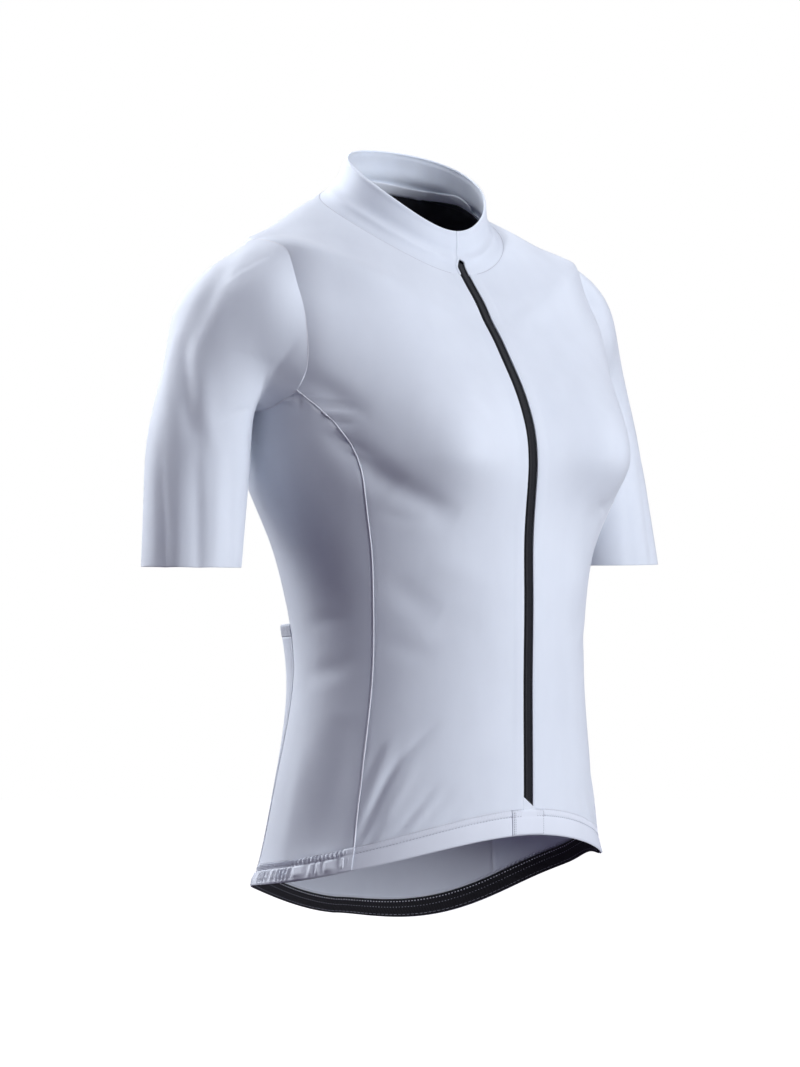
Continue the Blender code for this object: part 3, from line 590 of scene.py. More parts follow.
# Soft troughs (depth over 0) and ridges (depth under 0) on the body: degrees round it and
# levels at both ends, then millimetres. bow is how far a crease's middle is bent up.
BODY_CREASES = Table(
    "angle_from  level_from  angle_to  level_to  bow  depth  width",
    # from the right princess seam up over the front, above the hem
    (-65, 0.04, -51, 0.165, 6, 2.2, 3.6),
    (-64, 0.085, -54, 0.19, 3, -1.1, 4.4),
    (-58, 0.125, -38, 0.202, 3, 1.2, 4.5),
    (-59, 0.045, -45, 0.15, 4, -1.1, 4.6),
    (-61, 0.045, -54, 0.084, 1, 1.2, 3.5),
    (-53, 0.045, -37, 0.115, 2, 1.3, 3.4),
    (-47.5, 0.045, -36, 0.092, 1, -0.9, 4.5),
    (-46, 0.045, -31, 0.104, 2, 1, 3.6),
    (-65, 0.12, -58.5, 0.18, 2, 1.2, 4),
    (-37, 0.045, -24, 0.088, 1, 0.8, 5),
    # the same on the left, shorter
    (65, 0.042, 50, 0.15, 3, 2, 6),
    (60, 0.045, 46, 0.135, 3, -1.1, 6.5),
    (53, 0.045, 39, 0.112, 2, 1.2, 5),
    (41, 0.045, 29, 0.09, 1, 0.8, 5),
    # fanning from under the right arm over the princess seam
    (-85, 0.716, -70, 0.714, 0, 2.1, 1.9),
    (-83, 0.71, -65, 0.706, 1, -1.5, 1.9),
    (-79, 0.706, -57, 0.702, 1, 2.1, 2.1),
    (-73, 0.698, -61, 0.694, 0, -1.4, 2),
    (-71.5, 0.691, -59.5, 0.688, 0, 1.8, 2.1),
    (-70.5, 0.684, -61, 0.674, 0, -1.2, 2),
    (-71, 0.678, -58, 0.648, 1, 1.5, 2.4),
    (-69.5, 0.664, -60, 0.636, 1, 1.1, 2.3),
    (-74, 0.745, -56, 0.69, 2, 2.8, 10),
    # and under the left one
    (84, 0.714, 69, 0.711, 0, 1.3, 1.9),
    (80, 0.706, 62, 0.7, 1, -0.9, 1.9),
    (77, 0.701, 61, 0.692, 1, 1.2, 2.1),
    (71, 0.686, 61, 0.672, 0, 0.8, 2.2),
    (71, 0.752, 57, 0.718, 2, 1.6, 8),
    # round the outer and lower side of the bust
    (-69, 0.715, -52, 0.585, -6, 3.2, 13),
    (-62, 0.63, -31, 0.532, -7, 3.7, 12),
    (31, 0.54, 56, 0.59, -6, 1.6, 12),
    (34, 0.566, 52, 0.546, -2, 0.9, 3.2),
    (39, 0.556, 50, 0.536, -1, -0.6, 3),
    (-58, 0.548, -42, 0.535, -2, 0.8, 6),
    # down the side panels above the hem
    (-76, 0.225, -74.8, 0.045, 0, 3.9, 16),
    (-92, 0.2, -91, 0.052, 0, -1.5, 12),
    (80, 0.2, 79, 0.052, 0, 1.8, 14),
    # over the belly
    (-58, 0.44, -38, 0.37, -4, 1.6, 12),
    (-44, 0.455, -16, 0.415, 4, -1.3, 13),
    (-46, 0.33, -22, 0.352, 4, 1, 11),
    (20, 0.4, 46, 0.43, 4, -1, 12),
    (26, 0.35, 50, 0.372, -3, 1.2, 11),
    # at the waist
    (-62, 0.33, -40, 0.3, -3, 0.9, 9),
    (60, 0.34, 38, 0.306, -3, 1, 9),
    (-70, 0.3, -100, 0.275, -3, 1.1, 8),
    (72, 0.306, 101, 0.27, -3, 1.2, 8),
    (-74, 0.36, -96, 0.35, 2, 0.8, 7),
    # across the small of the back and up from the pockets
    (118, 0.375, 158, 0.398, -5, 1.8, 9),
    (242, 0.38, 205, 0.402, -5, 1.6, 9),
    (124, 0.42, 150, 0.452, -4, 1.2, 8),
    (236, 0.428, 212, 0.456, -4, 1.3, 8),
    (163, 0.405, 196, 0.41, 4, 1.1, 8),
    (112, 0.7, 134, 0.655, 3, 1.5, 5),
    (110, 0.68, 128, 0.635, 3, -0.9, 5),
    (248, 0.704, 227, 0.662, 3, 1.6, 5),
    (249, 0.682, 233, 0.64, 3, 1, 4.5),
    (112, 0.77, 140, 0.8, -3, 1.2, 8),
    (248, 0.775, 222, 0.798, -3, 1.1, 8),
)
# How many of its widths a crease reaches, and how soon it fades towards its ends
CREASE_REACH = 2.6
CREASE_FADE = 0.8

# The same on the sleeves: shares of the way down, and of the way round from the foot of
# the front armhole over the back. bow is in hundredths of the way round.
RIGHT_SLEEVE_CREASES = Table(
    "down_from  round_from  down_to  round_to  bow  depth  width",
    (0.05, 0.625, 0.56, 0.675, 4, 2.6, 10),
    (0.49, 0.665, 0.76, 0.785, -2.6, 3.2, 7.5),
    (0.47, 0.618, 0.73, 0.698, -2, -1.4, 8),
    (0.56, 0.755, 0.78, 0.83, -1, -1.3, 7),
    (0.76, 0.672, 1.15, 0.712, 0, 1.9, 5),
    (0.76, 0.735, 1.15, 0.762, 0, -1.1, 5.5),
    (0.74, 0.775, 1.15, 0.815, 0, 1.9, 5),
    (0.76, 0.84, 1.15, 0.87, 0, -1, 6),
    (0.74, 0.88, 1.15, 0.935, 0, 1.5, 6),
    (0.69, 0.818, 0.55, 0.93, 0.8, 1.1, 2.2),
    (0.2, 0.96, 0.05, 0.9, 0, 0.9, 4),
    (0.55, 0.2, 0.95, 0.26, 2, 1.6, 7),
    (0.4, 0.13, 0.7, 0.17, 1, 1.3, 5),
    (0.5, 0.33, 0.98, 0.39, 1, 1.3, 8),
    (0.3, 0.45, 0.8, 0.52, 1.5, 1.2, 9),
)
LEFT_SLEEVE_CREASES = Table(
    "down_from  round_from  down_to  round_to  bow  depth  width",
    (0.08, 0.64, 0.5, 0.69, 3, 1.4, 10),
    (0.5, 0.665, 0.8, 0.77, -2, 2.2, 5),
    (0.5, 0.635, 0.76, 0.71, -1.5, -1.4, 6),
    (0.76, 0.7, 1.15, 0.735, 0, 1.3, 5.5),
    (0.74, 0.8, 1.15, 0.845, 0, 1.4, 5.5),
    (0.7, 0.88, 1.1, 0.93, 0, 1.2, 6),
    (0.62, 0.84, 0.48, 0.925, 0.8, 1, 2.6),
    (0.55, 0.18, 0.95, 0.24, 2, 1.6, 7),
    (0.45, 0.33, 0.98, 0.4, 1, 1.2, 8),
    (0.3, 0.47, 0.85, 0.53, 1.5, 1.1, 9),
)

# Top edge of the dark facing inside the collar: share of the way round from the zip's left
# side, and rise above the neck seam in millimetres
NECK_FACING = Table(
    "share  rise",
    (0.2, 0), (0.24, 0), (0.256, 2), (0.27, 7.2), (0.285, 10.4), (0.3, 8.8), (0.313, 6.8),
    (0.342, 2.4), (0.37, 0.5), (0.41, 0), (0.5, 0),
)


def body_line(angle_from, level_from, angle_to, level_to, bow):
    """Points along a crease on the body."""
    share = np.linspace(0, 1, 13)
    angle = np.radians(between(angle_from, angle_to, share))
    line = body(angle, between(level_from, level_to, share))
    line[:, 2] += bow / 1000 * np.sin(math.pi * share)
    return hang_askew(line)


def on_sleeve(grid, down, way_round):
    """A point of the left sleeve, and past its cuff where down is over 1."""
    row = np.interp(down, SLEEVE_DOWN, np.arange(len(SLEEVE_DOWN)))
    column = way_round * grid.shape[1]
    first, second = int(row), min(int(row) + 1, len(grid) - 1)
    left, right = int(column) % grid.shape[1], (int(column) + 1) % grid.shape[1]
    low = between(grid[first, left], grid[first, right], column - int(column))
    high = between(grid[second, left], grid[second, right], column - int(column))
    past_cuff = max(down - 1, 0) * unit(grid[-1, left] - grid[-9, left]) * SLEEVE_LENGTH
    return between(low, high, row - first) + past_cuff


def sleeve_line(grid, down_from, round_from, down_to, round_to, bow):
    share = np.linspace(0, 1, 13)
    down = between(down_from, down_to, share)
    way_round = between(round_from, round_to, share) + bow / 100 * np.sin(math.pi * share)
    return np.array([on_sleeve(grid, d, r) for d, r in zip(down, way_round)])


def distance_to(line, points):
    """Distance from points to a line, and how far along it the nearest place is."""
    nearest = np.full(len(points), np.inf)
    share = np.zeros(len(points))
    for i, (start, end) in enumerate(zip(line[:-1], line[1:])):
        step = end - start
        along = np.clip((points - start) @ step / (step @ step), 0, 1)
        away = np.linalg.norm(points - start - along[:, None] * step, axis=1)
        better = away < nearest
        nearest[better] = away[better]
        share[better] = (i + along[better]) / (len(line) - 1)
    return nearest, share


def crease_height(line, depth, width, points):
    """How far one crease moves points out."""
    reach = CREASE_REACH * width / 1000
    inside = np.all((points > line.min(0) - reach) & (points < line.max(0) + reach), axis=1)
    height = np.zeros(len(points))
    if inside.any():
        away, share = distance_to(line, points[inside])
        fade = np.sin(math.pi * np.clip(share, 0.02, 0.98)) ** CREASE_FADE
        height[inside] = -depth / 1000 * fade * hill(away * 1000, width)
    return height


def creased(points, out, lines, relief=0.0):
    """A grid with creases and the relief of its seams pressed into it."""
    flat = points.reshape(-1, 3)
    height = np.zeros(len(flat))
    for line, depth, width in lines:
        height += crease_height(line, depth, width, flat)
    height = height.reshape(points.shape[:-1]) + relief
    return points + height[..., None] * unit(out)


# ---- meshes


def arc_lengths(points, axis):
    steps = np.linalg.norm(np.diff(points, axis=axis), axis=-1)
    start = np.zeros_like(np.take(steps, [0], axis=axis))
    return np.concatenate((start, np.cumsum(steps, axis=axis)), axis=axis)


def from_edge(points, edge):
    """How far each point of a grid is from one of its edges, along the cloth."""
    axis = 0 if edge in ("bottom", "top") else 1
    lengths = arc_lengths(points, axis)
    if edge in ("bottom", "start"):
        return lengths
    return np.take(lengths, [-1], axis=axis) - lengths


def seams(points, *edges):
    """Relief beside seams: the cloth turns in, and stands a little over its allowance."""
    relief = np.zeros(points.shape[:2])
    for edge in edges:
        away = from_edge(points, edge)
        relief -= SEAM_DIP * hill(away, SEAM_DIP_WIDTH)
        relief += SEAM_RISE * hill(away, SEAM_RISE_WIDTH, SEAM_RISE_AWAY)
    return relief


def cloth_map(points):
    """Place on the flat cloth of each point of a grid, in metres."""
    across = arc_lengths(points, 1)
    across = across - across[:, across.shape[1] // 2][:, None]
    up = np.broadcast_to(arc_lengths(points, 0).mean(axis=1)[:, None], across.shape)
    return np.stack((across, up), axis=-1)


def into_scene(name, data):
    made = bpy.data.objects.new(name, data)
    bpy.context.scene.collection.objects.link(made)
    return made


def put_mesh(name, points, faces, uv, look):
    """A smooth mesh that rides on the body. uv has a row for each corner of the faces."""
    mesh = bpy.data.meshes.new(name)
    mesh.from_pydata(points.tolist(), [], faces.tolist())
    if uv is not None:
        layer = mesh.uv_layers.new(name="UVMap")
        layer.data.foreach_set("uv", np.asarray(uv, np.float32).ravel())
    mesh.materials.append(LOOKS[look])
    mesh.shade_smooth()
    mesh.set_sharp_from_angle(angle=SHARP_FROM)
    made = into_scene(name, mesh)
    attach(made, "root")
    return made


def quads(rows, columns, closed):
    """Rows and columns of the four corners of each quad of a grid."""
    last = columns if closed else columns - 1
    r, c = np.meshgrid(np.arange(rows - 1), np.arange(last), indexing="ij")
    r, c = r.ravel(), c.ravel()
    return np.stack((r, r, r + 1, r + 1), 1), np.stack((c, c + 1, c + 1, c), 1)


def side_rims(rows, columns):
    """Quads that close the first and the last column of a wrapped grid."""
    made = []
    low = np.arange(rows)
    for column, turn in ((0, 1), (columns - 1, -1)):
        outer = (rows - 1 - low) * columns + column
        inner = (rows + 1 + low) * columns + column
        strip = np.stack((outer[:-1], outer[1:], inner[1:], inner[:-1]), 1)
        made.append(strip[:, ::turn])
    return np.concatenate(made)


def shell(name, outer, thickness, out, look, closed=False):
    """Thin cloth: a grid, a second one inside it and rounded edges between them."""
    rows, columns = outer.shape[:2]
    inner = outer - thickness * out
    middle = (outer + inner) / 2
    foot = middle[:1] + thickness / 2 * unit(outer[:1] - outer[1:2])
    top = middle[-1:] + thickness / 2 * unit(outer[-1:] - outer[-2:-1])
    wrapped = np.concatenate((outer[::-1], foot, inner, top))
    uv = cloth_map(np.concatenate((outer, outer[:, :1]), axis=1) if closed else outer)
    wrapped_uv = np.concatenate((uv[::-1], uv[:1], uv, uv[-1:], uv[-1:]))
    total = len(wrapped)
    r, c = quads(total + 1, columns, closed)
    corner_uv = wrapped_uv[r, c][:, ::-1]
    faces = ((r % total) * columns + c % columns)[:, ::-1]
    if not closed:
        ends = side_rims(rows, columns)
        flat_uv = wrapped_uv[:-1].reshape(-1, 2)
        faces = np.concatenate((faces, ends))
        corner_uv = np.concatenate((corner_uv, flat_uv[ends]))
    return put_mesh(name, wrapped.reshape(-1, 3), faces, corner_uv.reshape(-1, 2), look)


def sheet(name, outer, thickness, out, look, rests_on, *nodes, closed=False):
    """A shell of cloth; where solids are named, it stands in for them and they are hidden."""
    made = shell(name, outer, thickness, out, look, closed)
    if nodes:
        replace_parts(made, *nodes)


def frames(path, out):
    """Unit directions along a path, out of the cloth and across both."""
    along = unit(np.gradient(path, axis=0))
    across = unit(np.cross(along, out))
    return along, unit(np.cross(across, along)), across


def circles(up, across, sides):
    """Unit circles about a path."""
    turn = np.linspace(0, 2 * math.pi, sides, endpoint=False)[:, None]
    return np.cos(turn) * up[:, None] + np.sin(turn) * across[:, None]


def tube(name, path, out, radius, look):
    """A cord sewn on along a path."""
    _, up, across = frames(path, out)
    points = path[:, None] + radius * circles(up, across, TUBE_SIDES)
    r, c = quads(len(path), TUBE_SIDES, True)
    faces = (r * TUBE_SIDES + c % TUBE_SIDES)[:, ::-1]
    lengths = arc_lengths(path[:, None], 0)[:, 0]
    uv = np.stack((c * 0.001, lengths[r]), axis=-1)[:, ::-1]
    made = put_mesh(name, points.reshape(-1, 3), faces, uv.reshape(-1, 2), look)
    close_ends(made.data, len(path))


def close_ends(mesh, rings):
    shape = bmesh.new()
    shape.from_mesh(mesh)
    shape.verts.ensure_lookup_table()
    last = (rings - 1) * TUBE_SIDES
    shape.faces.new([shape.verts[i] for i in range(TUBE_SIDES)])
    shape.faces.new([shape.verts[last + i] for i in reversed(range(TUBE_SIDES))])
    bmesh.ops.recalc_face_normals(shape, faces=shape.faces)
    shape.to_mesh(mesh)
    shape.free()


def beads(name, centres, along, up, length, radius, look):
    """Many small round-ended bars, such as stitches or zip teeth, in one mesh."""
    circle = circles(up, unit(np.cross(along, up)), BEAD_SIDES)
    rings = [
        centres[:, None] + place * length * along[:, None] + share * radius * circle
        for place, share in BEAD_STATIONS
    ]
    r, c = quads(len(rings), BEAD_SIDES, True)
    caps = np.array([(0, 1, 2, 3), (0, 3, 4, 5)])
    far_caps = (len(rings) - 1) * BEAD_SIDES + caps[:, ::-1]
    one = np.concatenate(((r * BEAD_SIDES + c % BEAD_SIDES)[:, ::-1], caps, far_caps))
    start = np.arange(len(centres)) * len(rings) * BEAD_SIDES
    faces = (start[:, None, None] + one).reshape(-1, 4)
    put_mesh(name, np.stack(rings, axis=1).reshape(-1, 3), faces, None, look)


def along_path(path, out, pitch):
    """Places a pitch apart along a path, with the directions along it and out."""
    lengths = arc_lengths(path[:, None], 0)[:, 0]
    places = np.arange(pitch / 2, lengths[-1], pitch)
    along, up, _ = frames(path, out)
    centres, along, up = (
        np.stack([np.interp(places, lengths, values[:, i]) for i in range(3)], axis=1)
        for values in (path, along, up)
    )
    return centres, unit(along), unit(up)


def stitches(name, rows, look, pitch=STITCH_PITCH, length=0.0022, radius=0.00032):
    """Rows of stitches: each row is a path and the directions out of the cloth."""
    parts = [along_path(path, out, pitch) for path, out in rows]
    centres, along, up = (np.concatenate(values) for values in zip(*parts))
    beads(name, centres, along, up, length, radius, look)


# ---- materials


class Look:
    """A material in the making: its shader, and sockets for heights on the cloth."""

    def __init__(self, name, colour, roughness, sheen=0.0, metallic=0.0, specular=0.3):
        self.made = bpy.data.materials.new(name)
        self.made.use_nodes = True
        self.tree = self.made.node_tree
        self.shader = self.tree.nodes["Principled BSDF"]
        self.colour = colour
        self.set_shader("Base Color", (*colour, 1.0))
        self.set_shader("Roughness", roughness)
        self.set_shader("Metallic", metallic)
        self.set_shader("Specular IOR Level", specular)
        self.set_shader("Sheen Weight", sheen)
        self.set_shader("Sheen Roughness", 0.45)

    def set_shader(self, name, value):
        self.shader.inputs[name].default_value = value

    def node(self, kind, inputs=None, **settings):
        """A node, its settings, and its inputs given as sockets or as plain values."""
        made = self.tree.nodes.new("ShaderNode" + kind)
        for name, value in settings.items():
            setattr(made, name, value)
        for name, value in (inputs or {}).items():
            if isinstance(value, bpy.types.NodeSocket):
                self.tree.links.new(value, made.inputs[name])
            else:
                made.inputs[name].default_value = value
        return made

    def maths(self, operation, *values):
        return self.node("Math", dict(enumerate(values)), operation=operation).outputs[0]

    def wave(self, place, pitch):
        return self.maths("SINE", self.maths("MULTIPLY", place, 2 * math.pi / pitch))

    def on_cloth(self):
        """The cloth's own across and up coordinates, in metres."""
        place = self.node("UVMap", uv_map="UVMap").outputs[0]
        split = self.node("SeparateXYZ", {0: place})
        return split.outputs["X"], split.outputs["Y"]

    def knit(self, wale, course):
        """Columns of V-shaped stitches, wale wide and course tall."""
        across, up = self.on_cloth()
        column = self.maths("FRACT", self.maths("DIVIDE", across, wale))
        off_centre = self.maths("ABSOLUTE", self.maths("SUBTRACT", column, 0.5))
        rise = self.maths("MULTIPLY", off_centre, KNIT_SLANT)
        row = self.maths("ADD", self.maths("DIVIDE", up, course), rise)
        stitch = self.maths("MULTIPLY", self.wave(row, 1), KNIT_ROW_SHARE)
        return self.maths("ADD", stitch, self.wave(off_centre, 1))

    def rib(self, pitch):
        return self.wave(self.on_cloth()[0], pitch)

    def twill(self, pitch):
        return self.wave(self.maths("ADD", *self.on_cloth()), pitch)

    def noise(self, scale, detail=2.0, stretch=(1, 1, 1)):
        place = self.node("TexCoord").outputs["Object"]
        mapping = self.node("Mapping", {"Vector": place, "Scale": stretch})
        inputs = {"Scale": scale, "Detail": detail, "Vector": mapping.outputs[0]}
        return self.node("TexNoise", inputs).outputs["Fac"]

    def bumps(self, *layers):
        """Bump from layers of (height, distance, strength)."""
        inputs = {}
        for height, distance, strength in layers:
            inputs |= {"Distance": distance, "Strength": strength, "Height": height}
            inputs["Normal"] = self.node("Bump", inputs).outputs["Normal"]
        self.tree.links.new(inputs["Normal"], self.shader.inputs["Normal"])

    def run(self, name, height, low, high):
        """A value of the shader that runs from one colour to another with a height."""
        made = self.node("ValToRGB", {"Fac": height})
        for stop, place, colour in zip(made.color_ramp.elements, (0.3, 0.7), (low, high)):
            stop.position = place
            stop.color = (*colour, 1)
        self.tree.links.new(made.outputs["Color"], self.shader.inputs[name])

    def tint(self, height, shade):
        """Base colour, darker by a shade where the height is low."""
        self.run("Base Color", height, tuple(shade * c for c in self.colour), self.colour)

    def shine(self, height, low, high):
        """Roughness that runs from low to high with a height."""
        self.run("Roughness", height, (low,) * 3, (high,) * 3)


def cloth_look(name, colour, wale, course, depth, shade=0.95, shine_through=0.0):
    """Fine matt knit: V-shaped stitches, a little uneven in colour and in height."""
    look = Look(name, colour, 0.62, sheen=0.12)
    if shine_through:
        look.set_shader("Subsurface Weight", shine_through)
        look.set_shader("Subsurface Radius", (1.0, 1.0, 1.0))
        look.set_shader("Subsurface Scale", SHINE_THROUGH_SCALE)
    look.tint(look.noise(30, 5.0, KNIT_STRETCH), shade)
    soft = look.noise(70, 3.0, KNIT_STRETCH)
    look.shine(soft, 0.56, 0.70)
    look.bumps((soft, 0.0008, 0.16), (look.knit(wale, course), depth, 0.5))
    return look.made


def elastic_look(name, colour, pitch, depth):
    """Woven elastic with a rib in each pitch."""
    look = Look(name, colour, 0.55, sheen=0.1)
    grain = look.noise(400)
    look.tint(grain, 0.8)
    look.shine(grain, 0.48, 0.64)
    look.bumps((look.rib(pitch), depth, 0.7), (look.twill(0.0008), depth / 2, 0.5))
    return look.made


def tape_look(name, colour):
    """Woven tape of a zip."""
    look = Look(name, colour, 0.7, sheen=0.1)
    look.run("Base Color", look.noise(500), (0.005, 0.005, 0.008), (0.014, 0.014, 0.018))
    look.bumps((look.twill(0.0009), 0.0002, 0.7))
    return look.made


def thread_look(name, colour):
    look = Look(name, colour, 0.5, sheen=0.1)
    strands = look.noise(2200, 2.0, (1, 1, 0.3))
    look.tint(strands, 0.82)
    look.bumps((strands, 0.0001, 0.5))
    return look.made


def hard_look(name, colour, roughness, metallic, scale):
    look = Look(name, colour, roughness, metallic=metallic, specular=0.5)
    grain = look.noise(scale)
    look.tint(grain, 0.75)
    look.shine(grain, roughness - 0.06, roughness + 0.08)
    look.bumps((grain, 0.00005, 0.3))
    return look.made


WHITE = (0.785, 0.83, 0.90)
WHITE_BAND = (0.81, 0.845, 0.91)
KNIT_SLANT = -1.1
KNIT_ROW_SHARE = 0.35
KNIT_STRETCH = (1, 1, 0.4)
SHINE_THROUGH_SCALE = 0.0012
LOOKS = {
    "knit": cloth_look("white_knit", WHITE, 0.00075, 0.0006, 0.00010, shine_through=0.4),
    "hem": cloth_look("white_hem", WHITE_BAND, 0.0009, 0.0007, 0.00012),
    "lining": cloth_look("black_lining", (0.012, 0.012, 0.015), 0.0016, 0.0013, 0.0003, 0.7),
    "white_elastic": elastic_look("white_elastic", WHITE_BAND, 0.0013, 0.0003),
    "elastic": elastic_look("black_elastic", (0.013, 0.013, 0.016), 0.0015, 0.0002),
    "tape": tape_look("zip_tape", (0.008, 0.008, 0.011)),
    "coil": hard_look("zip_coil", (0.006, 0.006, 0.010), 0.62, 0.0, 1500),
    "metal": hard_look("slider_metal", (0.035, 0.035, 0.040), 0.34, 1.0, 900),
    "thread": thread_look("white_thread", (0.84, 0.86, 0.92)),
    "piping": thread_look("white_piping", (0.94, 0.95, 0.99)),
    # shade: on the black gripper, the thread's own grey; on the white zip-foot patch, painted
    # shade for the stitch lines
    "shade": thread_look("grey_thread_and_painted_shade", (0.40, 0.41, 0.47)),
    # pale_shade is painted shade: pale grey thread for the shadow lines in the neck seam and
    # under the hem's lower row
    "pale_shade": thread_look("painted_shade_thread", (0.60, 0.615, 0.68)),
    "black_thread": thread_look("black_thread", (0.03, 0.03, 0.035)),
}


# ---- pieces


def as_is(grid):
    return grid


def both_sides(name):
    """Names and turns of a piece, and of its mirror image where it has one."""
    if not name.endswith("_left"):
        return [(name, as_is)]
    return [(name, as_is), (name.replace("_left", "_right"), mirrored)]


def turned(relief, name):
    return relief[:, ::-1] if name.endswith("_right") else relief


def hung_sheets(pieces, thickness, look, rests_on, lines):
    """Sheets of the body and their mirror images, hung askew and creased."""
    for name, points, out, relief in pieces:
        for part, turn in both_sides(name):
            outer = creased(hang_askew(turn(points)), turn(out), lines, turned(relief, part))
            sheet(part + "_cloth", outer, thickness, turn(out), look, rests_on, part)


def zip_side(points):
    """Relief of a front beside the zip: its edge turns in, over the zip's tape."""
    away = from_edge(points, "start")
    facing = FACING_RISE * ease_in_out((FACING_WIDTH - away) / FACING_STEP)
    return facing - ZIP_EDGE_DIP * hill(away, SEAM_DIP_WIDTH)


def below_armhole(relief):
    """The armholes and shoulders are bonded flat, so none of the relief is kept at them."""
    return relief * ease_in_out((UNDERARM_LEVEL - PANEL_LEVELS) / SEAM_FADE)[:, None]


def build_panels(panels, lines):
    front_relief = seams(panels.front, "bottom", "top") + zip_side(panels.front)
    front_relief += below_armhole(seams(panels.front, "end"))
    side_relief = seams(panels.side, "bottom", "start", "end")
    back_relief = seams(panels.back, "bottom", "top")
    back_relief += below_armhole(seams(panels.back, "start", "end"))
    pieces = (
        ("front_left", panels.front, panels.front_offset, front_relief),
        ("side_left", panels.side, panels.side_offset, side_relief),
        ("back", panels.back, panels.back_offset, back_relief),
    )
    hung_sheets(pieces, KNIT, "knit", ["collar"], lines)


def build_sleeves(grid, offsets, lines):
    """Both sleeves, each with the tape that is bonded inside its cuff."""
    cuff = slice(-CUFF_ROWS, -1)
    rests_on = ["front_left", "front_right", "back"]
    for name, turn in both_sides("sleeve_left"):
        out = turn(offsets)
        outer = creased(turn(grid), out, lines[name])
        sheet(name + "_cloth", outer, KNIT, out, "knit", rests_on, name, closed=True)
        inner = (outer - (KNIT + GLUE) * out)[cuff]
        tape = name + "_cuff_tape"
        sheet(tape, inner, CUFF_TAPE, out[cuff], "hem", [name + "_cloth"], closed=True)


def build_collar(grid, offsets):
    """The collar, and the rounded front ends that make the garage of the zip's top."""
    relief = seams(grid, "bottom")
    relief += COLLAR_ROLL * hill(from_edge(grid, "top"), COLLAR_ROLL_WIDTH, COLLAR_ROLL_BELOW)
    up = np.linspace(0, 1, len(grid))[:, None]
    for level, height, width in COLLAR_BEND:
        relief += height / 1000 * hill(up, width, level)
    outer = creased(grid, offsets, (), relief)
    rests_on = ["front_left", "front_right", "back"]
    sheet("collar_cloth", outer, COLLAR_CLOTH, offsets, "knit", rests_on, "collar")
    for side, column, radius in (("left", 0, 0.0008), ("right", -1, 0.0015)):
        out = offsets[:, column]
        path = outer[:, column] - GARAGE_EDGE_INSET * COLLAR_CLOTH * out
        tube("garage_edge_" + side, path, out, radius, "knit")


def hem_band():
    """Points and normals of the band's left front, left side and back."""
    levels = BAND_LEVEL * np.linspace(0, 1, BAND_ROWS + 1)
    princess = np.radians(PRINCESS("angle", levels))
    side_back = np.radians(SIDE_BACK("angle", levels))
    grids = (
        front_spread(zip_edge(levels, SEAM_GAP), princess),
        spread(princess, side_back, np.linspace(0, 1, HEM_SIDE_COLUMNS + 1)),
        back_spread(side_back),
    )
    return [on_body(angles, levels[:, None]) for angles in grids]


def band_relief(points):
    """The band is drawn in along its two rows of stitches and puffs under them."""
    up = np.linspace(0, 1, len(points))[:, None]
    relief = BAND_PUFF * np.sin(math.pi * np.clip(up / STITCH_ROWS[0], 0, 1)) ** 0.7
    for row in STITCH_ROWS:
        relief = relief - BAND_DIP * hill(up, BAND_DIP_WIDTH, row)
    return relief


def gathers(points):
    """Fine upright folds between the rows of stitches and broader ones under them."""
    rows, columns = points.shape[:2]
    up = np.linspace(0, 1, rows)[:, None]
    share = np.linspace(0, 1, columns)[None]
    turn = 2 * math.pi
    wander = sum(
        size * np.sin(turn * waves * share + shift) for size, waves, shift in GATHER_WANDER
    )
    fine = (0.5 + 0.5 * np.cos(turn * (FINE_GATHERS * share + wander))) ** 1.5
    broad = 0.5 + 0.5 * np.cos(turn * (BROAD_GATHERS * share + 2 * wander) - GATHER_LEAN * up)
    between_rows = hill(up, ROW_GATHERS, (STITCH_ROWS[0] + STITCH_ROWS[1]) / 2)
    below = ease_in_out((STITCH_ROWS[0] - up) / GATHERS_BELOW_ROWS)
    below = below * ease_in_out(up / GATHERS_AT_FOOT + 0.15)
    drawn = ease_in_out(share / GATHERS_BEGIN) * ease_in_out((1.0 - share) / GATHERS_END)
    return drawn * (GATHER_FINE * between_rows * fine + GATHER_BROAD * below * broad)


def build_hem(front, side, back, lines):
    pieces = (
        ("hem_front_left", *front, band_relief(front[0])),
        ("hem_side_left", *side, band_relief(side[0]) + gathers(side[0])),
        ("hem_back", *back, band_relief(back[0])),
    )
    hung_sheets(pieces, HEM_BAND, "hem", ["back", "front_left", "front_right"], lines)


def build_hem_tabs(points, out):
    """Where the front band laps past the princess seam over the gathered side."""
    share = np.linspace(*TAB_SHARES, TAB_COLUMNS + 1)
    known = np.arange(20)
    points = points[:, known].swapaxes(0, 1)
    points = spline(known, points, share * HEM_SIDE_COLUMNS).swapaxes(0, 1)
    out = out[:, :1]
    relief = band_relief(points) + TAB_STAND
    relief = relief - TAB_EDGE_DIP * hill(share, TAB_EDGE_WIDTH, TAB_SHARES[1])
    for name, turn in both_sides("hem_tab_left"):
        outer = hang_askew(turn(points)) + turned(relief, name)[..., None] * turn(out)
        rests_on = ["hem_side_left_cloth", "hem_side_right_cloth"]
        sheet(name, outer, TAB_STAND, turn(out), "hem", rests_on)


def hem_row(angles, level, lift, lines):
    """A path round the hem at one level, and the directions out of it."""
    points, out = on_body(angles, level)
    path = creased(hang_askew(points)[:, None], out[:, None], lines)[:, 0]
    return path + np.asarray(lift)[..., None] * out, out


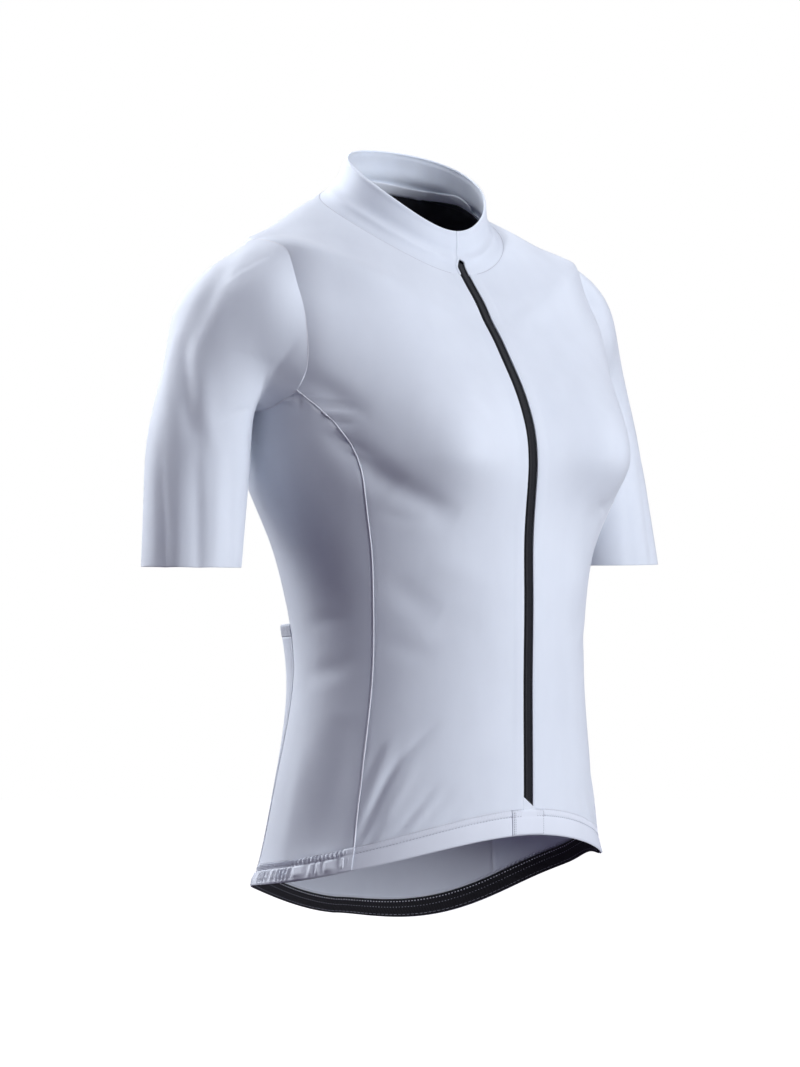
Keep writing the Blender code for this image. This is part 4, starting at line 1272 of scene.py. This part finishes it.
def build_hem_stitches(lines):
    """Two rows of stitches round the top of the band, and the threads between them."""
    rows = []
    front_rows = []
    for share in STITCH_ROWS:
        level = np.array(share * BAND_LEVEL)
        princess = np.radians(PRINCESS("angle", level))
        side_back = np.radians(SIDE_BACK("angle", level))
        front = np.linspace(zip_edge(level, STITCHES_STOP), princess + FRONT_ROWS_END, 160)
        side = np.linspace(princess + SIDE_ROWS_BEGIN, side_back, 120)
        back = np.linspace(side_back, 2 * math.pi - side_back, 200)
        on_patch = body(front, level)[:, 0] < ZIP_FOOT_HALF_WIDTH
        stand = np.where(on_patch, ZIP_FOOT + SEAM_GAP, 0) - STITCH_SINK
        fronts = [hem_row(way * front, level, stand, lines) for way in (1, -1)]
        sides = [hem_row(way * side, level, STITCH_RISE, lines) for way in (1, -1)]
        rows.append([fronts[0], sides[0], fronts[1], sides[1]])
        rows[-1].append(hem_row(back, level, -STITCH_SINK, lines))
        front_rows.append(fronts)
    # The lower row is pale grey thread: painted shade for the shadow under that row
    stitches("hem_low_stitches", rows[0], "pale_shade", length=0.0018)
    stitches("hem_stitches", rows[1], "thread")
    bars = []
    for (low, out), (high, _) in zip(*front_rows):
        count = int(arc_lengths(low[:, None], 0)[-1, 0] / STITCH_PITCH)
        at = np.linspace(0, len(low) - 1, 2 * count).astype(int)
        zigzag = np.where(np.arange(len(at))[:, None] % 2, low[at], high[at])
        first, second = zigzag[:-1], zigzag[1:]
        bars.append(((first + second) / 2, unit(second - first), out[at][:-1]))
    centres, along, up = (np.concatenate(values) for values in zip(*bars))
    span = (STITCH_ROWS[1] - STITCH_ROWS[0]) * BAND_HEIGHT
    beads("hem_looper_threads", centres, along, up, span, 0.00018, "thread")


def build_gripper(side, back):
    """The elastic inside the hem, from princess seam to princess seam round the back."""
    side = [grid[:, ::GRIPPER_STEP] for grid in side]
    points, out = (
        np.concatenate((beside, behind[:, 1:-1], mirrored(beside)), axis=1)
        for beside, behind in zip(side, back)
    )
    rows = np.linspace(*GRIPPER_SHARES, GRIPPER_ROWS + 1) * BAND_ROWS
    out = out[: GRIPPER_ROWS + 1]
    points = spline(np.arange(BAND_ROWS + 1), points, rows)
    outer = hang_askew(points - (HEM_BAND + SEAM_GAP) * out)
    rests_on = ["hem_back", "hem_side_left", "hem_side_right"]
    sheet("gripper_cloth", outer, GRIPPER, out, "elastic", rests_on, "hem_gripper")
    inner = outer - GRIPPER * out
    for name, share, look, pitch, length, radius in GRIPPER_STITCHES:
        row = np.array([share * GRIPPER_ROWS])
        path = spline(np.arange(GRIPPER_ROWS + 1), inner, row)[0]
        stitches(name, [(path, -out[0])], look, pitch, length, radius)


def build_lining(panels):
    rows = slice(LOW_COUNT - 1 + ARM_ROWS // 2, None)
    part = rows, slice(LINING_INSET, -LINING_INSET)
    normal = panels.back_normal[part]
    outer = panels.back[part] - (WALL + SEAM_GAP) * normal
    sheet("lining_cloth", outer, LINING, normal, "lining", ["back"], "back_lining")


def inside_collar(collar, offsets, low, high, stand):
    """A strip on the inside of the collar's back, from low to high above the neck seam."""
    below = collar[:1] - BELOW_COLLAR * unit(collar[1:2] - collar[:1])
    full = np.concatenate((below, collar))
    way_out = np.concatenate((offsets[1:2], offsets[1:2], offsets[1:]))
    lengths = arc_lengths(full, 0) - BELOW_COLLAR
    heights = np.linspace(low, high, 9)
    strip, out = np.zeros((2, *heights.shape, 3))
    first = int(NECK_TAPE_SHARES[0] * collar.shape[1])
    for i in range(heights.shape[1]):
        for axis in range(3):
            for made, known in ((strip, full), (out, way_out)):
                values = known[:, first + i, axis]
                made[:, i, axis] = np.interp(heights[:, i], lengths[:, first + i], values)
    return strip - (COLLAR_CLOTH + stand) * unit(out), unit(out)


def build_neck_tape(collar, offsets):
    """The dark facing's top edge inside the collar, and the pale tape over that edge."""
    start, end = (int(share * collar.shape[1]) for share in NECK_TAPE_SHARES)
    share = np.arange(start, end) / collar.shape[1]
    rise = NECK_FACING("rise", np.minimum(share, 1 - share)) / 1000
    foot = np.full(len(rise), -0.0015)
    behind = NECK_TAPE_STAND - NECK_FACING_CLOTH
    for name, low, high, stand, thickness, look in (
        ("neck_facing", foot, rise + 0.002, behind, NECK_FACING_CLOTH, "lining"),
        ("neck_tape", rise, rise + NECK_TAPE_WIDTH, NECK_TAPE_STAND, NECK_TAPE, "hem"),
    ):
        grid, out = inside_collar(collar, offsets, low, high, stand)
        sheet(name, grid, thickness, out, look, ["collar"])


def zip_points(x):
    """A line up the front and into the foot of the collar, x from the centre line."""
    front = body(zip_edge(PANEL_LEVELS, x), PANEL_LEVELS)
    front[0] = between(front[0], front[1], ZIP_STARTS_AT)
    top = collar_points(np.linspace(*ZIP_TOP_LEVELS, 5), x)
    return np.concatenate((front, top))


def zip_strip(half_width, columns):
    """A grid up the zip, half_width to each side of the centre line."""
    across = np.linspace(-half_width, half_width, columns + 1)
    return np.stack([zip_points(x) for x in across], axis=1)


def build_zip():
    surface = zip_strip(ZIP_TAPE_HALF_WIDTH, ZIP_TAPE_COLUMNS)
    middle = ZIP_TAPE_COLUMNS // 2
    normal = grid_normals(surface)[:, middle : middle + 1]
    outer = surface - (WALL + SEAM_GAP) * normal
    nodes = ("zip_tape_left", "zip_tape_right")
    sheet("zip_tapes", outer, ZIP_TAPE, normal, "tape", ["front_left", "front_right"], *nodes)
    across = np.linspace(-1, 1, 9)[None, :, None]
    crown = COIL_RISE * np.sqrt(1 - 0.9 * across**2)
    outer = zip_strip(COIL_HALF_WIDTH, 8) - (WALL - crown) * normal
    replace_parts(shell("zip_cord", outer, COIL_CLOTH, normal, "coil"), "zip_coil")
    normal = normal[:, 0]
    path = zip_points(0.0) - (WALL - COIL_RISE) * normal
    centres, along, up = along_path(path, normal, TOOTH_PITCH / 2)
    across = unit(np.cross(along, up))
    side = np.where(np.arange(len(centres)) % 2, 1.0, -1.0)[:, None]
    centres = centres + TOOTH_ASIDE * side * across
    beads("zip_teeth", centres, across, up, TOOTH_LENGTH, TOOTH_RADIUS, "coil")
    places = (-ZIP_STITCHES_AT, ZIP_STITCHES_AT)
    rows = [(zip_points(x) - (WALL + GLUE) * normal, normal) for x in places]
    stitches("zip_stitches", rows, "black_thread", 0.0022, 0.0017, 0.00022)


def build_zip_ends():
    """The patch over the foot of the zip, and the cloth that ends the zip on a slant."""
    x = np.linspace(-ZIP_FOOT_HALF_WIDTH, ZIP_FOOT_HALF_WIDTH, 25)
    levels = BAND_LEVEL * np.linspace(*ZIP_FOOT_SHARES, 17)[:, None]
    points, out = on_body(zip_edge(levels, x), levels)
    relief = band_relief(points) * 0.6 - ZIP_FOOT_EDGE_DIP * (np.abs(x) > ZIP_FOOT_EDGE)
    outer = hang_askew(points + (SEAM_GAP + ZIP_FOOT) * out) + relief[..., None] * out
    rests_on = ["hem_front_left", "hem_front_right"]
    thickness = ZIP_FOOT * TRIM_CLOTH_SHARE
    sheet("zip_foot_patch", outer, thickness, out, "hem", rests_on, "zip_foot")
    rows = [(outer[:, column], out[:, column]) for column in (1, 2, -2)]
    # Grey stitches on the white patch: painted shade for the dark lines along the stitching
    stitches("zip_foot_stitches", rows, "shade", 0.0019, 0.0015, 0.00022)

    x = np.linspace(-COVER_HALF_WIDTH, COVER_HALF_WIDTH, 9)
    top = BAND_LEVEL + np.linspace(*COVER_TOP, 9)
    levels = between(BAND_LEVEL - COVER_BELOW, top, np.linspace(0, 1, 7)[:, None])
    points, out = on_body(zip_edge(levels, x), levels)
    outer = hang_askew(points) + COVER_STAND * out
    sheet("zip_foot_cover", outer, COVER_CLOTH, out, "knit", ["zip_foot_patch"])


def build_slider():
    levels = np.linspace(SLIDER_LEVELS[0], SLIDER_LEVELS[-1], 11)
    half = np.interp(levels, SLIDER_LEVELS, SLIDER_HALF_WIDTHS)
    across = np.linspace(-1, 1, 9)
    outer = np.stack([collar_points(levels, half * share) for share in across], axis=1)
    normal = grid_normals(outer)[:, 4:5]
    crown = SLIDER_CROWN * across[None, :, None] ** 2
    outer = outer - (COLLAR_CLOTH + 2 * SEAM_GAP + crown) * normal
    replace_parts(shell("slider_body", outer, SLIDER_BODY, normal, "metal"), "zip_slider")
    normal = normal[1:-2]
    tab = outer[1:-2, 2:-2] - SLIDER_TAB_INSIDE * normal
    shell("slider_tab", tab, SLIDER_TAB, normal, "metal")


def sewn_edge(across, least, full):
    """Height of a pocket's cloth, which goes down into the seams at its sides."""
    return between(least, full, ease_in_out(np.minimum(across, 1 - across) / SEWN_EDGE))


def pocket_grid(start, end, levels):
    """Points and normals of the back under a pocket, and how far up it each row is."""
    share = np.linspace(start, end, POCKET_COLUMNS + 1)
    angles = back_spread(np.radians(SIDE_BACK("angle", levels)), share)
    levels = levels[:, None]
    points, out = on_body(angles, levels)
    points[:, 0] += SEAM_GAP / 2 * unit(points[:, 1] - points[:, 0])
    points[:, -1] += SEAM_GAP / 2 * unit(points[:, -2] - points[:, -1])
    up = (levels - BAND_LEVEL) / (MOUTH_TOP - BAND_LEVEL)
    return points, out, up


def pocket_stand(hump, up):
    """How far a pocket stands off the back, least at its sewn sides and foot."""
    return SEAM_GAP + POCKET_BULGE * (hump**1.9 * ease_in_out(up) ** 1.5)


def build_pockets(lines):
    """Three pockets across the lower back, each with an elastic along its mouth."""
    across = np.linspace(0, 1, POCKET_COLUMNS + 1)
    hump = 4 * across * (1 - across)
    puckers = POCKET_PUCKER * np.cos(2 * math.pi * POCKET_PUCKERS * across) * hump
    waves_across, waves_up = SLACK_WAVES
    seam_rows = []
    for side, place, lean in (("left", 0, 1), ("centre", 1, 0.3), ("right", 2, -1)):
        start, end = place / 3, (place + 1) / 3
        levels = np.linspace(BAND_LEVEL, POCKET_TOP - TRIM_GAP, POCKET_ROWS + 1)
        points, out, up = pocket_grid(start, end, levels)
        slack = np.sin(2 * math.pi * (waves_across * across + waves_up * lean * up) + lean)
        relief = POCKET_SLACK * slack * hump * ease_in_out(up / SLACK_FADE)
        relief += puckers * np.exp(-(1 - up / up[-1]) / PUCKER_FADE)
        relief += pocket_stand(hump, up) + sewn_edge(across, POCKET_EDGE, POCKET_CLOTH)
        outer = creased(hang_askew(points), out, lines, relief)
        name = "pocket_" + side
        sheet(name + "_cloth", outer, POCKET_CLOTH, out, "knit", ["back_cloth"], name)
        seam_rows += [(outer[:, column], out[:, column]) for column in (5, -6)]

        points, out, up = pocket_grid(start, end, np.linspace(POCKET_TOP, MOUTH_TOP, 9))
        relief = pocket_stand(hump, up) + sewn_edge(across, TRIM_EDGE, POCKET_ELASTIC)
        relief -= TRIM_EDGE_DIP * np.linspace(-1, 1, 9)[:, None] ** 4
        outer = creased(hang_askew(points), out, lines, relief)
        trim = "pocket_trim_" + side
        thickness = POCKET_ELASTIC * TRIM_CLOTH_SHARE
        sheet(trim + "_elastic", outer, thickness, out, "white_elastic", [name + "_cloth"], trim)
        seam_rows.append((outer[1], out[1]))
    stitches("pocket_stitches", seam_rows, "thread")


def seam_tube(name, points, out, radius, lift, look, lines=()):
    """A thread or piping on a seam, in the creases of the cloth."""
    path = creased(hang_askew(points)[:, None], out[:, None], lines, lift)[:, 0]
    tube(name, path, unit(out), radius, look)


def build_seams(panels, armhole, armhole_out, collar, collar_offset, lines):
    """Piping down the princess seams, fine threads in the other seams, and a painted shade line
    in the neck seam.
    """
    low = slice(0, LOW_COUNT)
    levels = np.linspace(0.001, BAND_LEVEL, 14)
    places = {
        "piping_": (panels.front[low, -1], panels.front_offset[low, -1]),
        "band_piping_": on_body(np.radians(PRINCESS("angle", levels)), levels),
        "side_seam_": (panels.back[low, 0], panels.back_offset[low, 0]),
        "armhole_seam_": [np.concatenate((a, a[:1])) for a in (armhole, armhole_out)],
    }
    for side, way in (("left", 1), ("right", -1)):
        turn = np.array((way, 1, 1))
        for name, radius, lift, look in SEAM_TUBES:
            points, out = places[name]
            seam_tube(name + side, points * turn, out * turn, radius, lift, look, lines)
    # The neck seam's cord is pale grey and sunk into the seam: painted shade for the seam's
    # shadow line
    seam_tube("neck_seam", collar[0], collar_offset[0], 0.00036, -0.0004, "pale_shade")


# ---- light and camera

CAMERA_AZIMUTH = math.radians(-40)
CAMERA_DISTANCE = 4.0
CAMERA_ASIDE = -0.0085
CAMERA_HEIGHT = -0.2788
METRES_ACROSS = 0.68
SENSOR_WIDTH = 36
FLOOR_Z = -0.90
FLOOR_RADIUS = 7
FILL = 0.10
FILL_COLOUR = (0.74, 0.60, 1.0, 1)
LIGHT_COLOUR = (0.915, 0.95, 1.0)

# Name, then azimuth and elevation seen from the camera's side and distance, then size in
# metres and watts
LIGHTS = (
    ("key", (56, 7, 2.7), (1.6, 1.8), 74),
    ("rim", (-122, 34, 2.6), (0.9, 1.6), 73),
    ("top", (-15, 75, 2.4), (1.2, 1.2), 14),
    ("side", (-88, 18, 1.0), (0.3, 0.5), 2.0),
)

# Small lamps for the inside of the collar and for the near sleeve: place and aim as right,
# towards and up from the camera's side, then watts, spread in degrees and radius
SPOTS = (
    ("neck", (-0.24, 0.26, 0.80), (0.045, -0.05, 0.285), 8.5, 22, 0.04),
    ("sleeve", (-0.95, 0.30, 0.25), (-0.20, 0.0, 0.09), 8.0, 26, 0.25),
)


def seen_from_camera(right, towards, up):
    """A place given by the camera's own directions, from the middle of the jersey."""
    across = Vector((math.cos(CAMERA_AZIMUTH), math.sin(CAMERA_AZIMUTH), 0))
    back = Vector((math.sin(CAMERA_AZIMUTH), -math.cos(CAMERA_AZIMUTH), 0))
    middle = Vector((0, 0, CAMERA_HEIGHT))
    return middle + across * right + back * towards + Vector((0, 0, up))


def from_direction(azimuth, elevation, distance):
    """right, towards and up of a place; azimuth 0 is towards the camera, 90 to the right."""
    turn, climb = math.radians(azimuth), math.radians(elevation)
    flat = distance * math.cos(climb)
    return flat * math.sin(turn), flat * math.cos(turn), distance * math.sin(climb)


def add_camera():
    data = bpy.data.cameras.new("camera")
    data.sensor_fit = "HORIZONTAL"
    data.sensor_width = SENSOR_WIDTH
    data.lens = SENSOR_WIDTH * CAMERA_DISTANCE / METRES_ACROSS
    made = into_scene("camera", data)
    made.location = seen_from_camera(CAMERA_ASIDE, CAMERA_DISTANCE, 0)
    made.rotation_euler = (math.radians(90), 0, CAMERA_AZIMUTH)
    bpy.context.scene.camera = made


def add_light(name, kind, place, aimed_at, watts):
    data = bpy.data.lights.new(name, kind)
    data.energy = watts
    data.color = LIGHT_COLOUR
    made = into_scene(name, data)
    made.location = seen_from_camera(*place)
    aim = seen_from_camera(*aimed_at) - made.location
    made.rotation_euler = aim.to_track_quat("-Z", "Y").to_euler()
    return data


def add_lights():
    for name, direction, size, watts in LIGHTS:
        data = add_light(name, "AREA", from_direction(*direction), (0, 0, 0), watts)
        data.shape = "RECTANGLE"
        data.size, data.size_y = size
    for name, place, aimed_at, watts, spread_angle, radius in SPOTS:
        data = add_light(name, "SPOT", place, aimed_at, watts)
        data.spot_size = math.radians(spread_angle)
        data.spot_blend = 1.0
        data.shadow_soft_size = radius


def add_world():
    """White to look at, and only a little light from all round."""
    world = bpy.data.worlds.new("studio")
    bpy.context.scene.world = world
    world.use_nodes = True
    nodes, links = world.node_tree.nodes, world.node_tree.links
    seen = nodes["Background"]
    fill = nodes.new("ShaderNodeBackground")
    for background, colour, strength in ((seen, (1, 1, 1, 1), 1.0), (fill, FILL_COLOUR, FILL)):
        background.inputs["Color"].default_value = colour
        background.inputs["Strength"].default_value = strength
    ray = nodes.new("ShaderNodeLightPath")
    mix = nodes.new("ShaderNodeMixShader")
    links.new(ray.outputs["Is Camera Ray"], mix.inputs["Fac"])
    links.new(fill.outputs[0], mix.inputs[1])
    links.new(seen.outputs[0], mix.inputs[2])
    links.new(mix.outputs[0], nodes["World Output"].inputs["Surface"])


def add_floor():
    look = Look("floor_white", (0.85, 0.85, 0.85), 0.8)
    look.set_shader("Emission Color", (1, 1, 1, 1))
    look.set_shader("Emission Strength", 1.0)
    turn = np.linspace(0, 2 * math.pi, 96, endpoint=False)
    height = np.full(len(turn), FLOOR_Z)
    rim = np.stack((FLOOR_RADIUS * np.cos(turn), FLOOR_RADIUS * np.sin(turn), height), 1)
    mesh = bpy.data.meshes.new("floor")
    mesh.from_pydata(rim.tolist(), [], [list(range(len(turn)))])
    mesh.materials.append(look.made)
    made = into_scene("floor", mesh)
    made.visible_diffuse = False
    made.visible_glossy = False


def lay_out():
    """The panels, the left sleeve and the collar, with offsets that meet at the seams."""
    panels = Panels()
    loop = panels.armhole(panels.front, panels.side, panels.back)
    loop_normal = panels.armhole(panels.front_offset, panels.side_offset, panels.back_offset)
    sleeve = sleeve_grid(loop)
    sleeve_offset = grid_normals(sleeve, closed=True)
    sleeve_offset[0] = mitre(loop_normal, sleeve_offset[0])
    panels.share_armhole(sleeve_offset[0])
    neck = panels.neck(panels.front, panels.back)
    neck_normal = panels.neck(panels.front_offset, panels.back_offset)
    collar = collar_grid(neck)
    collar_offset = grid_normals(collar)
    collar_offset[0] = mitre(neck_normal, collar_offset[0])
    panels.share_neck(collar_offset[0])
    return panels, sleeve, sleeve_offset, collar, collar_offset


def armhole_front(loop, way):
    """The line down the front edge of an armhole."""
    start = len(SIDE_SHARES) - 1 + ARM_ROWS
    line = np.concatenate((loop[start:], loop[:1]))
    return line[:: max(len(line) // 24, 1)] * (way, 1, 1)


def crease_lines(sleeve):
    """Creases of the body and of each sleeve, as lines with a depth and a width."""
    body_lines = [(body_line(*row[:5]), row[5], row[6]) for row in BODY_CREASES.rows]
    sleeves = {}
    for name, table, way in (
        ("sleeve_left", LEFT_SLEEVE_CREASES, 1),
        ("sleeve_right", RIGHT_SLEEVE_CREASES, -1),
    ):
        lines = [
            (sleeve_line(sleeve, *row[:5]) * (way, 1, 1), row[5], row[6]) for row in table.rows
        ]
        edge = armhole_front(sleeve[0], way)
        corner = (edge[: len(edge) // 2], SHOULDER_DROP[name], SHOULDER_FADE)
        body_lines += [corner, (edge, CHEST_FULLNESS[name], CHEST_FADE)]
        sleeves[name] = lines + [corner, (edge, CHEST_FULLNESS[name], SLEEVE_FADE)]
    return body_lines, sleeves


def main():
    panels, sleeve, sleeve_offset, collar, collar_offset = lay_out()
    body_lines, sleeve_lines = crease_lines(sleeve)
    build_panels(panels, body_lines)
    build_sleeves(sleeve, sleeve_offset, sleeve_lines)
    build_collar(collar, collar_offset)
    build_seams(panels, sleeve[0], sleeve_offset[0], collar, collar_offset, body_lines)
    front, side, back = hem_band()
    build_hem(front, side, back, body_lines)
    build_hem_tabs(*side)
    build_hem_stitches(body_lines)
    build_gripper(side, back)
    build_lining(panels)
    build_neck_tape(collar, collar_offset)
    build_zip()
    build_zip_ends()
    build_slider()
    build_pockets(body_lines)
    add_camera()
    add_world()
    add_floor()
    add_lights()
    bpy.context.scene.view_settings.view_transform = "Standard"


main()
